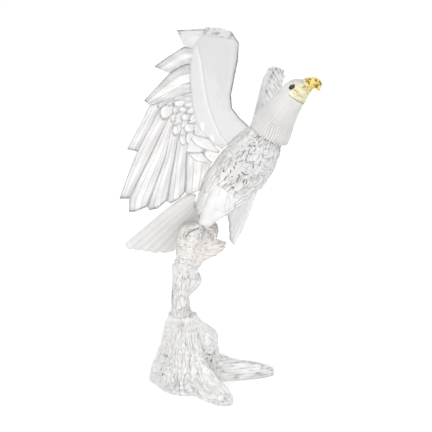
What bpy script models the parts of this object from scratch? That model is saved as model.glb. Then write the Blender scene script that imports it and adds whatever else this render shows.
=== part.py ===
import math

import bmesh
import bpy
import numpy as np
from mathutils import Vector

for old in list(bpy.data.objects):
    bpy.data.objects.remove(old, do_unlink=True)

# Sizes in millimetres, origin on the flat underside below the trunk, +Z up, +X right, -Y to the front
MM = 0.001
FIT_GAP = 0.3
STUMP_HEIGHT = 38.2
PERCH_HEIGHT = 51.9
PERCH_FOOT = STUMP_HEIGHT + FIT_GAP
PERCH_TOP = PERCH_FOOT + PERCH_HEIGHT

# The bird sits on the perch, and its places are measured from the height of the perch's top
SEAT = Vector((0.0, 0.0, PERCH_TOP))

# Colours and finish of each material
FINISHES = {
    "crystal_frosted_grey": ((0.86, 0.86, 0.87, 1.0), 0.45),
    "crystal_bark": ((0.88, 0.86, 0.84, 1.0), 0.12),
    "crystal_clear": ((0.97, 0.97, 0.98, 1.0), 0.02),
    "crystal_frosted_warm": ((0.89, 0.88, 0.86, 1.0), 0.40),
    "crystal_yellow": ((0.93, 0.74, 0.20, 1.0), 0.10),
    "jet": ((0.02, 0.02, 0.03, 1.0), 0.08),
}

# The stump: a trunk that widens into roots, each root a bearing in degrees, its spread to both sides and its reach,
# with heights as shares of the stump's height
STUMP_LEVELS = (0.0, 0.047, 0.094, 0.136, 0.178, 0.225, 0.288, 0.366, 0.471, 0.589, 0.681, 0.754, 0.827, 0.911, 1.0)
STUMP_ANGLES = 60
TRUNK = ((0.0, 16.5), (0.262, 14.2), (0.524, 11.8), (0.785, 9.8), (1.0, 7.4))
ROOTS = (
    (-57, 17, 15, ((0.0, 45.5), (0.05, 47), (0.13, 46), (0.18, 41), (0.24, 34), (0.31, 27), (0.47, 20), (0.68, 14.5),
                   (1.0, 7.9))),
    (-80, 44, 32, ((0.0, 24.6), (0.12, 25.4), (0.24, 24.2), (0.36, 21), (0.52, 17.2), (0.7, 13.6), (1.0, 7.9))),
    (11, 12, 14, ((0.0, 51), (0.05, 52.5), (0.1, 51.4), (0.15, 48), (0.2, 42), (0.26, 30), (0.37, 20.5), (0.58, 12),
                  (1.0, 7.2))),
    (4, 34, 40, ((0.0, 17), (0.21, 19), (0.37, 20.2), (0.52, 18.6), (0.68, 19.2), (0.75, 18), (0.83, 14.2), (0.91, 10),
                 (1.0, 7.4))),
    (168, 42, 30, ((0.0, 19.5), (0.16, 18.6), (0.39, 15.6), (0.65, 12.3), (0.92, 10), (1.0, 8.3))),
    (100, 24, 24, ((0.0, 33), (0.08, 32), (0.18, 25), (0.37, 18), (0.63, 13), (1.0, 7.6))),
)
ROOT_BLUNTNESS = 2.2
GROOVES = 15
GROOVE_DEPTH = 0.55
GROOVE_TWIST = 1.9
GROOVE_START = 0.16

# The perch: a leaning branch with a broken stub on the right, a knob below it and a small spur on the left,
# with heights as shares of the perch's height
PERCH_LEVELS = (0.0, 0.04, 0.12, 0.21, 0.25, 0.295, 0.345, 0.395, 0.45, 0.51, 0.54, 0.57, 0.62, 0.67, 0.72, 0.77,
                0.815, 0.846, 0.89, 0.94, 0.98, 1.0)
PERCH_ANGLES = 32
PERCH_LINE = ((0.0, -1.4), (0.21, -1.4), (0.34, -0.4), (0.45, 0.7), (0.57, 2.6), (0.70, 4.5), (0.84, 6.6), (1.0, 7.4))
PERCH_RADIUS = ((0.0, 5.9), (0.07, 5.4), (0.21, 4.9), (0.34, 5.8), (0.45, 6.6), (0.57, 7.1), (0.70, 8.5), (0.84, 9.8),
                (0.94, 9.4), (0.98, 8.2), (1.0, 6.8))
PERCH_LIMBS = (
    (-6, 26, ((0.60, 0), (0.64, 3.0), (0.68, 6.0), (0.72, 8.3), (0.77, 8.6), (0.815, 7.2), (0.846, 1.2), (0.89, 0))),
    (-14, 40, ((0.23, 0), (0.27, 1.4), (0.315, 3.6), (0.375, 4.0), (0.425, 2.6), (0.48, 0.4), (0.53, 0))),
    (172, 24, ((0.45, 0), (0.51, 0.9), (0.54, 2.2), (0.57, 0.4), (0.61, 0))),
)
BARK_DEPTH = 0.45
BARK_RIDGES = 8
BARK_TWIST = 18.0

# The bird's own frame: body centre, tail-to-head axis, right-hand side and back
BODY_CENTRE = SEAT + Vector((30.9, -3.0, 32.5))
BODY_AXIS = Vector((0.560, -0.152, 0.814)).normalized()
BODY_RIGHT = Vector((-0.690, -0.636, 0.357))
BODY_RIGHT = (BODY_RIGHT - BODY_RIGHT.dot(BODY_AXIS) * BODY_AXIS).normalized()
BODY_BACK = BODY_RIGHT.cross(BODY_AXIS).normalized()

# Body sections from vent to neck: place on the axis, half width, half depth at the belly and at the back
BODY_SECTIONS = (
    (-36.0, 3.6, 3.4, 4.2), (-33.5, 6.8, 6.4, 7.0), (-27.5, 9.4, 9.2, 10.0), (-20.0, 11.8, 11.9, 12.4),
    (-12.0, 13.4, 14.6, 12.9), (-4.0, 14.2, 16.4, 12.8), (4.0, 14.2, 17.5, 12.4), (12.0, 13.2, 16.9, 11.2),
    (19.0, 11.2, 14.4, 9.6), (25.0, 9.2, 10.6, 8.6), (31.0, 7.0, 7.2, 6.8), (35.0, 5.2, 5.4, 5.2),
)
BODY_ANGLES = 28

# Thighs and toes: centre line points with the radius at each
THIGHS = (
    (((24.5, -9.5, 22.6), 6.5), ((20.0, -9.2, 15.1), 7.2), ((15.0, -7.0, 7.6), 5.2), ((11.5, -5.0, 1.4), 3.4)),
    (((22.0, 4.0, 21.6), 6.5), ((18.5, 5.0, 14.6), 6.6), ((14.5, 4.6, 7.6), 4.8), ((12.0, 3.8, 1.4), 3.2)),
)
TOES = (
    (((12.0, -5.0, 2.2), 2.0), ((15.6, -7.0, 1.2), 1.7), ((17.6, -7.8, -2.0), 1.3), ((17.4, -7.6, -5.0), 0.6)),
    (((11.0, -5.0, 2.2), 2.0), ((10.4, -8.8, 1.2), 1.7), ((9.6, -10.8, -2.2), 1.3), ((9.4, -10.6, -5.4), 0.6)),
    (((10.6, -5.0, 2.0), 1.9), ((4.6, -6.6, 1.2), 1.6), ((1.4, -7.8, -1.8), 1.2), ((1.2, -7.6, -4.4), 0.6)),
    (((12.0, 3.8, 2.2), 1.9), ((15.4, 6.6, 1.0), 1.6), ((16.2, 8.2, -2.0), 1.2), ((16.0, 8.0, -4.8), 0.6)),
    (((12.6, 3.6, 2.0), 1.9), ((17.0, 1.0, 1.0), 1.6), ((18.2, 0.6, -2.2), 1.2), ((18.0, 0.6, -5.0), 0.6)),
)

# Head and neck feathers: centre line points with half height and half width, ending in the beak's joint plane
HEAD_SECTIONS = (
    ((46.5, -7.2, 52.8), 11.3, 11.2), ((48.6, -7.8, 57.0), 10.7, 10.4), ((50.9, -8.6, 61.6), 9.7, 9.2),
    ((53.7, -9.2, 66.2), 8.6, 8.0), ((56.5, -9.7, 70.4), 7.8, 7.0), ((58.9, -10.0, 73.8), 7.4, 6.5),
    ((61.4, -10.0, 76.1), 6.8, 5.9), ((63.7, -10.0, 77.5), 5.6, 4.8),
)
HEAD_ANGLES = 32
FLUTES = 16
FLUTE_DEPTH = 0.35
HEAD_SIDE = -10.0
BEAK_PLANE = Vector((0.904, 0.0, 0.428)).normalized()

# Beak outline in side view: upper and lower edge with the half width between them
BEAK_SECTIONS = (
    ((64.1, 82.3), (67.7, 74.7), 3.7), ((66.3, 83.1), (68.0, 75.3), 3.5), ((68.5, 83.3), (68.3, 75.9), 3.2),
    ((70.5, 83.1), (68.8, 76.6), 2.9), ((72.2, 82.3), (69.4, 77.1), 2.5), ((73.4, 81.1), (70.1, 77.3), 2.1),
    ((73.9, 79.6), (70.7, 77.2), 1.7), ((73.5, 77.7), (71.2, 76.7), 1.2), ((73.0, 76.5), (71.5, 76.0), 0.7),
)
BEAK_ANGLES = 16

EYE_RADIUS = (1.75, 1.3, 1.45)
EYE_PLACE = (57.8, 4.6, 78.9)

# Wing outline in its own plane, outwards negative and up positive, one entry for each of nine feathers
WING_LEAD = ((1.0, 68.0), (6.0, 66.2), (10.0, 60.2), (9.4, 51.0), (7.8, 43.0), (5.7, 32.2), (6.2, 25.2), (10.5, 19.8),
             (14.0, 16.6), (17.0, 13.4))
WING_ARM = ((-8.0, 68.3), (-15.0, 57.5), (-16.4, 48.0), (-16.4, 40.3), (-15.9, 32.7), (-14.8, 25.2), (-13.2, 18.8),
            (-10.5, 12.8), (-6.5, 7.5), (3.2, 0.8))
WING_TIPS = (
    ((-23.4, 66.9), (-22.2, 64.4), (-20.8, 61.4), (-19.3, 58.5)),
    ((-19.6, 57.9), (-27.5, 53.0), (-35.5, 47.5), (-27.2, 44.2)),
    ((-27.4, 43.6), (-34.0, 36.6), (-41.0, 29.3), (-37.8, 26.8)),
    ((-38.0, 26.2), (-44.2, 14.5), (-50.3, 3.2), (-44.9, 2.0)),
    ((-45.1, 1.4), (-50.0, -11.0), (-54.7, -23.5), (-49.6, -23.4)),
    ((-49.4, -24.2), (-49.5, -30.7), (-45.7, -30.4), (-40.2, -28.0)),
    ((-39.6, -28.1), (-38.2, -29.7), (-33.7, -28.7), (-29.4, -25.0)),
    ((-28.8, -25.0), (-26.5, -26.0), (-22.3, -23.6), (-19.4, -20.4)),
    ((-18.8, -20.5), (-16.2, -21.0), (-12.5, -19.6), (-8.6, -17.4)),
)
FEATHER_SPLITS = (0.0, 0.36, 0.7, 1.0)
ARM_ROWS = (0.0, 0.45, 1.0)
FEATHER_ROWS = (0.2, 0.45, 0.7, 0.88, 1.0)
ARM_HALF_THICKNESS = (1.3, 2.4, 2.2)
FEATHER_HALF_THICKNESS = (1.8, 1.5, 1.2, 0.95, 0.6)
FEATHER_STEP = 0.5
FEATHER_BEND = 2.0
WING_TWIST = 0.0018
TWIST_HEIGHT = 20.0

# Where each wing stands: shoulder point, outward and upward direction of its plane, and its face towards the belly
RIGHT_SHOULDER = SEAT + Vector((20.4, -3.0, 39.7))
RIGHT_AXES = (Vector((-1.0, 0.0, 0.0)), Vector((0.0, 0.2588, 0.9659)), Vector((0.0, -0.9659, 0.2588)))
LEFT_SHOULDER = SEAT + Vector((30.4, 7.2, 20.6))
LEFT_OUT = Vector((0.25, 0.896, -0.364))
LEFT_UP = Vector((0.28, 0.255, 0.893))

# Tail fan: root point on the axis, half width and length for each of six feathers, in the tail plane
TAIL_ROOT = SEAT + Vector((11.4, 6.1, 10.8))
TAIL_EDGE_RIGHT = ((14.0, -3.0), (20.6, 8.6), (31.2, 36.0))
TAIL_EDGE_LEFT = ((-5.0, -3.0), (-4.0, 16.0), (-3.4, 35.0))
TAIL_ENDS = ((30.9, 36.4), (29.4, 39.0), (26.6, 40.1), (24.2, 39.3), (21.2, 39.7), (18.3, 39.0), (15.4, 39.3),
             (12.2, 38.6), (8.6, 38.8), (5.6, 37.8), (2.4, 37.4), (-0.6, 36.4), (-3.2, 34.4))
TAIL_HALF_THICKNESS = (1.6, 1.5, 1.2, 1.0, 0.6)
TAIL_RIDGE = 0.45


def reading(table, value):
    """Value of a two-column list at a place between its rows."""
    return float(np.interp(value, [row[0] for row in table], [row[1] for row in table]))


def along(points, place):
    """Point on a list of equally spaced points, place counted in steps."""
    steps = np.arange(len(points))
    return [float(np.interp(place, steps, [point[axis] for point in points])) for axis in range(len(points[0]))]


def turned(angle, bearing):
    """Signed turn from a bearing, in degrees between -180 and 180."""
    return (angle - bearing + 180.0) % 360.0 - 180.0


def piece_from(name, verts, faces):
    """Object with the given points in millimetres, its faces turned outwards."""
    mesh = bpy.data.meshes.new(name)
    mesh.from_pydata([[c * MM for c in v] for v in verts], [], faces)
    bm = bmesh.new()
    bm.from_mesh(mesh)
    bmesh.ops.recalc_face_normals(bm, faces=bm.faces)
    bm.to_mesh(mesh)
    bm.free()
    obj = bpy.data.objects.new(name, mesh)
    bpy.context.scene.collection.objects.link(obj)
    return obj


def stack_body(name, rings):
    """Closed body through rings of equal count, with a fan at both ends."""
    count = len(rings[0])
    verts = [tuple(point) for ring in rings for point in ring]
    faces = []
    for level in range(len(rings) - 1):
        for step in range(count):
            here = level * count + step
            beside = level * count + (step + 1) % count
            faces.append((here, beside, beside + count))
            faces.append((here, beside + count, here + count))
    for level in (0, len(rings) - 1):
        middle = len(verts)
        verts.append(tuple(np.mean(np.array(rings[level], dtype=float), axis=0)))
        for step in range(count):
            faces.append((level * count + step, level * count + (step + 1) % count, middle))
    return piece_from(name, verts, faces)


def panel_body(name, front, back):
    """Closed thin body between two grids of the same size."""
    columns, rows = len(front), len(front[0])
    verts = [tuple(p) for column in front for p in column] + [tuple(p) for column in back for p in column]
    shift = columns * rows
    faces = []
    for i in range(columns - 1):
        for j in range(rows - 1):
            a, b, c, d = i * rows + j, (i + 1) * rows + j, (i + 1) * rows + j + 1, i * rows + j + 1
            faces += [(a, b, c), (a, c, d), (shift + a, shift + c, shift + b), (shift + a, shift + d, shift + c)]
    rim = [(i, 0) for i in range(columns)] + [(columns - 1, j) for j in range(1, rows)]
    rim += [(i, rows - 1) for i in range(columns - 2, -1, -1)] + [(0, j) for j in range(rows - 2, 0, -1)]
    marks = [i * rows + j for i, j in rim]
    for here, beside in zip(marks, marks[1:] + marks[:1]):
        faces += [(here, beside, shift + beside), (here, shift + beside, shift + here)]
    return piece_from(name, verts, faces)


def combined(target, other, operation):
    """Target after a cut by the other object, or a union with it; the other object goes."""
    change = target.modifiers.new(operation, "BOOLEAN")
    change.object = other
    change.operation = operation
    change.solver = "EXACT"
    other.hide_render = True
    other.display_type = "WIRE"
    graph = bpy.context.evaluated_depsgraph_get()
    result = bpy.data.meshes.new_from_object(target.evaluated_get(graph))
    target.modifiers.clear()
    target.data = result
    bpy.data.objects.remove(other, do_unlink=True)
    return target


def cleaned(obj):
    """Object without doubled points and without edges too short to see."""
    bm = bmesh.new()
    bm.from_mesh(obj.data)
    bmesh.ops.remove_doubles(bm, verts=bm.verts, dist=0.02 * MM)
    bmesh.ops.dissolve_degenerate(bm, edges=bm.edges, dist=0.02 * MM)
    bmesh.ops.triangulate(bm, faces=bm.faces)
    bmesh.ops.recalc_face_normals(bm, faces=bm.faces)
    bm.to_mesh(obj.data)
    bm.free()
    return obj


def stump_radius(angle, share):
    """Distance of the stump's surface from the trunk line at a share of its height."""
    trunk = reading(TRUNK, share)
    radius = trunk
    for bearing, spread_down, spread_up, reach in ROOTS:
        turn = turned(angle, bearing)
        spread = spread_up if turn > 0 else spread_down
        swell = math.exp(-((abs(turn) / spread) ** ROOT_BLUNTNESS))
        radius = max(radius, trunk + (reading(reach, share) - trunk) * swell)
    groove = GROOVE_DEPTH * math.sin(math.radians(angle) * GROOVES + share * GROOVE_TWIST)
    return radius + groove * min(1.0, share / GROOVE_START)


def stump_rings():
    rings = []
    for share in STUMP_LEVELS:
        ring = []
        for step in range(STUMP_ANGLES):
            angle = 360.0 * step / STUMP_ANGLES - 180.0
            radius = stump_radius(angle, share)
            ring.append((radius * math.cos(math.radians(angle)), radius * math.sin(math.radians(angle)),
                         share * STUMP_HEIGHT))
        rings.append(ring)
    return rings


def perch_radius(angle, share):
    """Distance of the bark from the branch's centre line at a share of its height."""
    radius = reading(PERCH_RADIUS, share)
    for bearing, spread, reach in PERCH_LIMBS:
        radius += reading(reach, share) * math.exp(-((abs(turned(angle, bearing)) / spread) ** 2))
    return radius + BARK_DEPTH * math.sin(math.radians(angle) * BARK_RIDGES + share * BARK_TWIST)


def perch_rings():
    rings = []
    for share in PERCH_LEVELS:
        middle = reading(PERCH_LINE, share)
        ring = []
        for step in range(PERCH_ANGLES):
            angle = 360.0 * step / PERCH_ANGLES
            radius = perch_radius(angle, share)
            ring.append((middle + radius * math.cos(math.radians(angle)), radius * math.sin(math.radians(angle)),
                         PERCH_FOOT + share * PERCH_HEIGHT))
        rings.append(ring)
    return rings


def body_rings(grow):
    rings = []
    first, last = BODY_SECTIONS[0][0], BODY_SECTIONS[-1][0]
    for place, half_width, belly, back in BODY_SECTIONS:
        place += -grow if place == first else grow if place == last else 0.0
        ring = []
        for step in range(BODY_ANGLES):
            angle = math.tau * step / BODY_ANGLES
            side, rise = math.cos(angle), math.sin(angle)
            depth = (back if rise > 0 else belly) + grow
            ring.append(BODY_CENTRE + BODY_AXIS * place + BODY_RIGHT * (side * (half_width + grow))
                        + BODY_BACK * (rise * depth))
        rings.append(ring)
    return rings


def limb_rings(points, grow, count):
    """Rings along a bent limb with round sections."""
    places = [SEAT + Vector(place) for place, _ in points]
    rings = []
    for index, (place, radius) in enumerate(points):
        before, after = places[max(index - 1, 0)], places[min(index + 1, len(places) - 1)]
        direction = (after - before).normalized()
        side = direction.cross(Vector((0.3, 1.0, 0.1))).normalized()
        across = direction.cross(side)
        middle = SEAT + Vector(place)
        if index == 0:
            middle -= direction * grow
        if index == len(points) - 1:
            middle += direction * grow
        rings.append([middle + side * (math.cos(math.tau * s / count) * (radius + grow))
                      + across * (math.sin(math.tau * s / count) * (radius + grow)) for s in range(count)])
    return rings


def head_rings(grow):
    rings = []
    places = [SEAT + Vector(place) for place, _, _ in HEAD_SECTIONS]
    for index, (place, half_height, half_width) in enumerate(HEAD_SECTIONS):
        before, after = places[max(index - 1, 0)], places[min(index + 1, len(places) - 1)]
        direction = (after - before).normalized()
        side = direction.cross(Vector((0.0, 0.0, 1.0))).normalized()
        rise = side.cross(direction).normalized()
        middle = SEAT + Vector(place) - (direction * grow if index == 0 else Vector())
        fade = max(0.0, 1.0 - index / 5.0)
        ring = []
        for step in range(HEAD_ANGLES):
            angle = math.tau * step / HEAD_ANGLES
            flute = FLUTE_DEPTH * fade * math.cos(angle * FLUTES)
            ring.append(middle + side * (math.cos(angle) * (half_width + flute + grow))
                        + rise * (math.sin(angle) * (half_height + flute + grow)))
        rings.append(ring)
    upper, lower, half_width = BEAK_SECTIONS[0]
    rings.append(pair_ring(upper, lower, half_width, HEAD_ANGLES, grow, BEAK_PLANE * -FIT_GAP))
    return rings


def pair_ring(upper, lower, half_width, count, grow, shift):
    """Oval ring between an upper and a lower point in side view."""
    top = SEAT + Vector((upper[0], HEAD_SIDE, upper[1])) + shift
    bottom = SEAT + Vector((lower[0], HEAD_SIDE, lower[1])) + shift
    middle, half = (top + bottom) / 2.0, (top - bottom) / 2.0
    scale = (half.length + grow) / half.length
    return [middle + half * (math.sin(math.tau * s / count) * scale)
            + Vector((0.0, -1.0, 0.0)) * (math.cos(math.tau * s / count) * (half_width + grow)) for s in range(count)]


def beak_rings():
    return [pair_ring(upper, lower, half_width, BEAK_ANGLES, 0.0, Vector()) for upper, lower, half_width in BEAK_SECTIONS]


def eye_rings(side, grow):
    x, offset, z = EYE_PLACE
    middle = SEAT + Vector((x, HEAD_SIDE + side * offset, z))
    rings = []
    for row in range(1, 6):
        fall = math.pi * row / 6
        rings.append([middle + Vector(((EYE_RADIUS[0] + grow) * math.sin(fall) * math.cos(math.tau * s / 12),
                                       (EYE_RADIUS[1] + grow) * math.cos(fall),
                                       (EYE_RADIUS[2] + grow) * math.sin(fall) * math.sin(math.tau * s / 12)))
                      for s in range(12)])
    return rings


def wing_grids():
    """Front and back grid of a wing in its own plane: outward, upward and towards the belly."""
    front, back = [], []
    for feather, tips in enumerate(WING_TIPS):
        for split, tip in zip(FEATHER_SPLITS, tips):
            place = feather + split
            lead, arm = along(WING_LEAD, place), along(WING_ARM, place)
            ridge = 1.0 if 0.0 < split < 1.0 else 0.8
            step = FEATHER_STEP * (1.0 - 2.0 * split)
            near, far = [], []
            for row, half in zip(ARM_ROWS, ARM_HALF_THICKNESS):
                p = lead[0] + (arm[0] - lead[0]) * row
                q = lead[1] + (arm[1] - lead[1]) * row
                near.append((p, q, half))
                far.append((p, q, -half))
            for row, half in zip(FEATHER_ROWS, FEATHER_HALF_THICKNESS):
                p = arm[0] + (tip[0] - arm[0]) * row
                q = arm[1] + (tip[1] - arm[1]) * row
                middle = step * min(1.0, row * 3.0) - FEATHER_BEND * row * row
                near.append((p, q, middle + half * ridge))
                far.append((p, q, middle - half * ridge))
            front.append(near)
            back.append(far)
    return front, back


def wing_body(name, shoulder, outward, upward, facing):
    front, back = wing_grids()

    def placed(grid):
        return [[shoulder + outward * -p + upward * q + facing * (t - WING_TWIST * p * (q - TWIST_HEIGHT))
                 for p, q, t in column] for column in grid]

    return panel_body(name, placed(front), placed(back))


def tail_body(name, grow):
    """Fan of flat feathers behind the perch."""
    width = BODY_RIGHT
    length = -BODY_AXIS
    facing = BODY_BACK
    columns = len(TAIL_ENDS)
    front, back = [], []
    rows = (0.0, 0.3, 0.6, 0.85, 1.0)
    for index, end in enumerate(TAIL_ENDS):
        share = index / (columns - 1)
        near, far = [], []
        for row, half in zip(rows, TAIL_HALF_THICKNESS):
            edge_right = along(TAIL_EDGE_RIGHT, row * 2.0)
            edge_left = along(TAIL_EDGE_LEFT, row * 2.0)
            across = edge_right[0] + (edge_left[0] - edge_right[0]) * share
            down = edge_right[1] + (edge_left[1] - edge_right[1]) * share
            blend = row ** 3
            across += (end[0] - across) * blend
            down += (end[1] - down) * blend
            outer = grow if index == 0 else -grow if index == columns - 1 else 0.0
            ahead = grow if row == 1.0 else -grow if row == 0.0 else 0.0
            ridge = TAIL_RIDGE * (0.5 if index % 2 else -0.5) * min(1.0, row * 2.0)
            here = TAIL_ROOT + width * (across + outer) + length * (down + ahead)
            near.append(here + facing * (ridge + half + grow))
            far.append(here + facing * (ridge - half - grow))
        front.append(near)
        back.append(far)
    return panel_body(name, front, back)


def body_parts(grow):
    """Trunk of the bird, thighs and toes as separate closed bodies."""
    parts = [stack_body("body_trunk", body_rings(grow))]
    parts += [stack_body("body_thigh", limb_rings(points, grow, 14)) for points in THIGHS]
    parts += [stack_body("body_toe", limb_rings(points, grow, 8)) for points in TOES]
    return parts


def cut_by_body(target):
    for part in body_parts(FIT_GAP):
        combined(target, part, "DIFFERENCE")
    return target


def finish(obj, name, material_name):
    obj.name = name
    obj.data.name = name
    colour, roughness = FINISHES[material_name]
    material = bpy.data.materials.new(name + "_" + material_name)
    material.use_nodes = True
    shader = material.node_tree.nodes["Principled BSDF"]
    shader.inputs["Base Color"].default_value = colour
    shader.inputs["Roughness"].default_value = roughness
    material.diffuse_color = colour
    obj.data.materials.clear()
    obj.data.materials.append(material)
    return cleaned(obj)


# Stump and perch
base_stump = finish(stack_body("base_stump", stump_rings()), "base_stump", "crystal_frosted_grey")
perch = cut_by_body(stack_body("perch_branch", perch_rings()))
combined(perch, tail_body("tail_room", FIT_GAP), "DIFFERENCE")
perch_branch = finish(perch, "perch_branch", "crystal_bark")

# Body with thighs and feet as one casting
body_pieces = body_parts(0.0)
body = body_pieces[0]
for extra in body_pieces[1:]:
    combined(body, extra, "UNION")
body = finish(body, "body", "crystal_clear")

# Head, beak and eyes
head = cut_by_body(stack_body("head", head_rings(0.0)))
for side in (-1, 1):
    combined(head, stack_body("eye_room", eye_rings(side, FIT_GAP / 2)), "DIFFERENCE")
head = finish(head, "head", "crystal_frosted_warm")
beak = finish(stack_body("beak", beak_rings()), "beak", "crystal_yellow")
eye_right = finish(stack_body("eye_right", eye_rings(-1, 0.0)), "eye_right", "jet")
eye_left = finish(stack_body("eye_left", eye_rings(1, 0.0)), "eye_left", "jet")

# Wings
left_out = LEFT_OUT.normalized()
left_up = (LEFT_UP - LEFT_UP.dot(left_out) * left_out).normalized()
left_facing = left_up.cross(left_out).normalized() * -1.0
for name, shoulder, axes in (("wing_right", RIGHT_SHOULDER, RIGHT_AXES),
                             ("wing_left", LEFT_SHOULDER, (left_out, left_up, left_facing))):
    wing = cut_by_body(wing_body(name, shoulder, *axes))
    combined(wing, stack_body("head_room", head_rings(FIT_GAP)), "DIFFERENCE")
    finish(wing, name, "crystal_clear")

# Tail
tail = finish(cut_by_body(tail_body("tail", 0.0)), "tail", "crystal_frosted_warm")

total = 0
for obj in bpy.data.objects:
    total += len(obj.data.polygons)
    print(obj.name, len(obj.data.polygons), "triangles")
print("triangles in all:", total)
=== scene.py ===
import math

import bmesh
import bpy
import numpy as np
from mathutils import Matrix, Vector
from mathutils.kdtree import KDTree


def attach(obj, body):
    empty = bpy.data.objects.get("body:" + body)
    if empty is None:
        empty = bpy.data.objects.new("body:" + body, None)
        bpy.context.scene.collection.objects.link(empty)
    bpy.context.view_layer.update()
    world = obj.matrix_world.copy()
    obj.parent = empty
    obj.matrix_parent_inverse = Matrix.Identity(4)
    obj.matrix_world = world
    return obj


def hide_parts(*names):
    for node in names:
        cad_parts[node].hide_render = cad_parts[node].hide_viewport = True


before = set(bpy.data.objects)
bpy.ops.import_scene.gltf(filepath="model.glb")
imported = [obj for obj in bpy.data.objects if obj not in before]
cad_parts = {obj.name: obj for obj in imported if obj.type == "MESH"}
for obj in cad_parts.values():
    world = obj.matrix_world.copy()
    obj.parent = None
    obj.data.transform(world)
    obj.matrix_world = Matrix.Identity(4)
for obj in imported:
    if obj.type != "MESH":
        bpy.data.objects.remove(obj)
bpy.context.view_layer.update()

# Sizes in millimetres in the part's own frame, as in the part's source
MM = 0.001
FIT_GAP = 0.3
STUMP_HEIGHT = 38.2
PERCH_HEIGHT = 51.9
PERCH_FOOT = STUMP_HEIGHT + FIT_GAP
PERCH_TOP = PERCH_FOOT + PERCH_HEIGHT
SEAT = np.array([0.0, 0.0, PERCH_TOP])

# Camera: the photograph looks slightly down on the figurine from the front with a long lens
CAMERA_TARGET = (18.0, 0.0, 95.3)
CAMERA_DISTANCE = 896.0
CAMERA_ELEVATION = 15.0
CAMERA_LENS = 137.0
LIGHT_TARGET = (0.0, 0.0, 0.1)

# Tints, and the one of points that carry none of their own
WHITE = (1.0, 1.0, 1.0)
PLAIN_TINT = 0.8
STUMP_HUE = (1.0, 0.99, 0.98)
PERCH_BROWN = (1.0, 0.96, 0.93)
BODY_HUE = (0.995, 0.99, 0.98)
BODY_BLUSH = (0.985, 0.92, 0.90)
LIMB_HUE = (0.99, 0.985, 0.98)
LIMB_BROWN = (0.99, 0.935, 0.905)
NECK_HUE = (1.0, 0.985, 0.965)
CROWN_HUE = (0.99, 0.975, 1.0)
FEATHER_CREAM = (1.0, 0.985, 0.965)
FEATHER_LILAC = (0.985, 0.972, 0.995)
TAIL_HUE = (1.0, 0.993, 0.98)
TAIL_BROWN = (1.0, 0.965, 0.94)

# More cells than an open surface has side by side, so that none comes twice
OPEN = 999

# Stump: widths at shares of its height, then each root's bearing, its spread to both sides and its reach
TRUNK = ((0.0, 16.5), (0.262, 14.2), (0.524, 11.8), (0.785, 9.8), (1.0, 7.4))
ROOTS = (
    (-57, 17, 15, ((0.0, 45.5), (0.05, 47), (0.13, 46), (0.18, 41), (0.24, 34), (0.31, 27), (0.47, 20), (0.68, 14.5),
                   (1.0, 7.9))),
    (-80, 44, 32, ((0.0, 24.6), (0.12, 25.4), (0.24, 24.2), (0.36, 21), (0.52, 17.2), (0.7, 13.6), (1.0, 7.9))),
    (11, 12, 14, ((0.0, 51), (0.05, 52.5), (0.1, 51.4), (0.15, 48), (0.2, 42), (0.26, 30), (0.37, 20.5), (0.58, 12),
                  (1.0, 7.2))),
    (4, 34, 40, ((0.0, 17), (0.21, 19), (0.37, 20.2), (0.52, 18.6), (0.68, 19.2), (0.75, 18), (0.83, 14.2), (0.91, 10),
                 (1.0, 7.4))),
    (168, 42, 30, ((0.0, 19.5), (0.16, 18.6), (0.39, 15.6), (0.65, 12.3), (0.92, 10), (1.0, 8.3))),
    (100, 24, 24, ((0.0, 33), (0.08, 32), (0.18, 25), (0.37, 18), (0.63, 13), (1.0, 7.6))),
)
ROOT_BLUNTNESS = 2.2
LIP_RADIUS = 6.3
STUMP_COLUMNS = 420
STUMP_ROWS = 84
STUMP_FIBRES = 26
STUMP_FLAKES = 104
STUMP_DARK_GLINTS = 170
# Bearings and spreads of the dark specks, painted as dark glints in the crystal
DARK_GLINT_BEARINGS = ((-138.0, 12.0), (-30.0, 12.0), (-45.0, 6.0))

# Perch: centre and radius at shares of its height, then bearing, spread and reach of its stub and knobs
PERCH_LINE = ((0.0, -1.4), (0.21, -1.4), (0.34, -0.4), (0.45, 0.7), (0.57, 2.6), (0.70, 4.5), (0.84, 6.6), (1.0, 7.4))
PERCH_RADIUS = ((0.0, 5.9), (0.07, 5.4), (0.21, 4.9), (0.34, 5.8), (0.45, 6.6), (0.57, 7.1), (0.70, 8.5), (0.84, 9.8),
                (0.94, 9.4), (0.98, 8.2), (1.0, 6.8))
PERCH_LIMBS = (
    (-6, 26, ((0.60, 0), (0.64, 3.0), (0.68, 6.0), (0.72, 8.3), (0.77, 8.6), (0.815, 7.2), (0.846, 1.2), (0.89, 0))),
    (-14, 40, ((0.23, 0), (0.27, 1.4), (0.315, 3.6), (0.375, 4.0), (0.425, 2.6), (0.48, 0.4), (0.53, 0))),
    (172, 24, ((0.45, 0), (0.51, 0.9), (0.54, 2.2), (0.57, 0.4), (0.61, 0))),
)
KNOB_BLUNTNESS = 2.6
PERCH_COLUMNS = 240
PERCH_ROWS = 190
LONG_FLAKES = 24
SHORT_FLAKES = 13
PERCH_GRIT = 44
# Bearing and spread of the strip with hardly any brown
CLEAR_STRIP = (262.0, 16.0)

# Bird frame: body centre, tail-to-head axis, right-hand side and back
BODY_CENTRE = SEAT + np.array([30.9, -3.0, 32.5])
BODY_AXIS = np.array([0.560, -0.152, 0.814])
BODY_AXIS = BODY_AXIS / np.linalg.norm(BODY_AXIS)
BODY_RIGHT = np.array([-0.690, -0.636, 0.357])
BODY_RIGHT = BODY_RIGHT - BODY_RIGHT.dot(BODY_AXIS) * BODY_AXIS
BODY_RIGHT = BODY_RIGHT / np.linalg.norm(BODY_RIGHT)
BODY_BACK = np.cross(BODY_RIGHT, BODY_AXIS)
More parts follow.
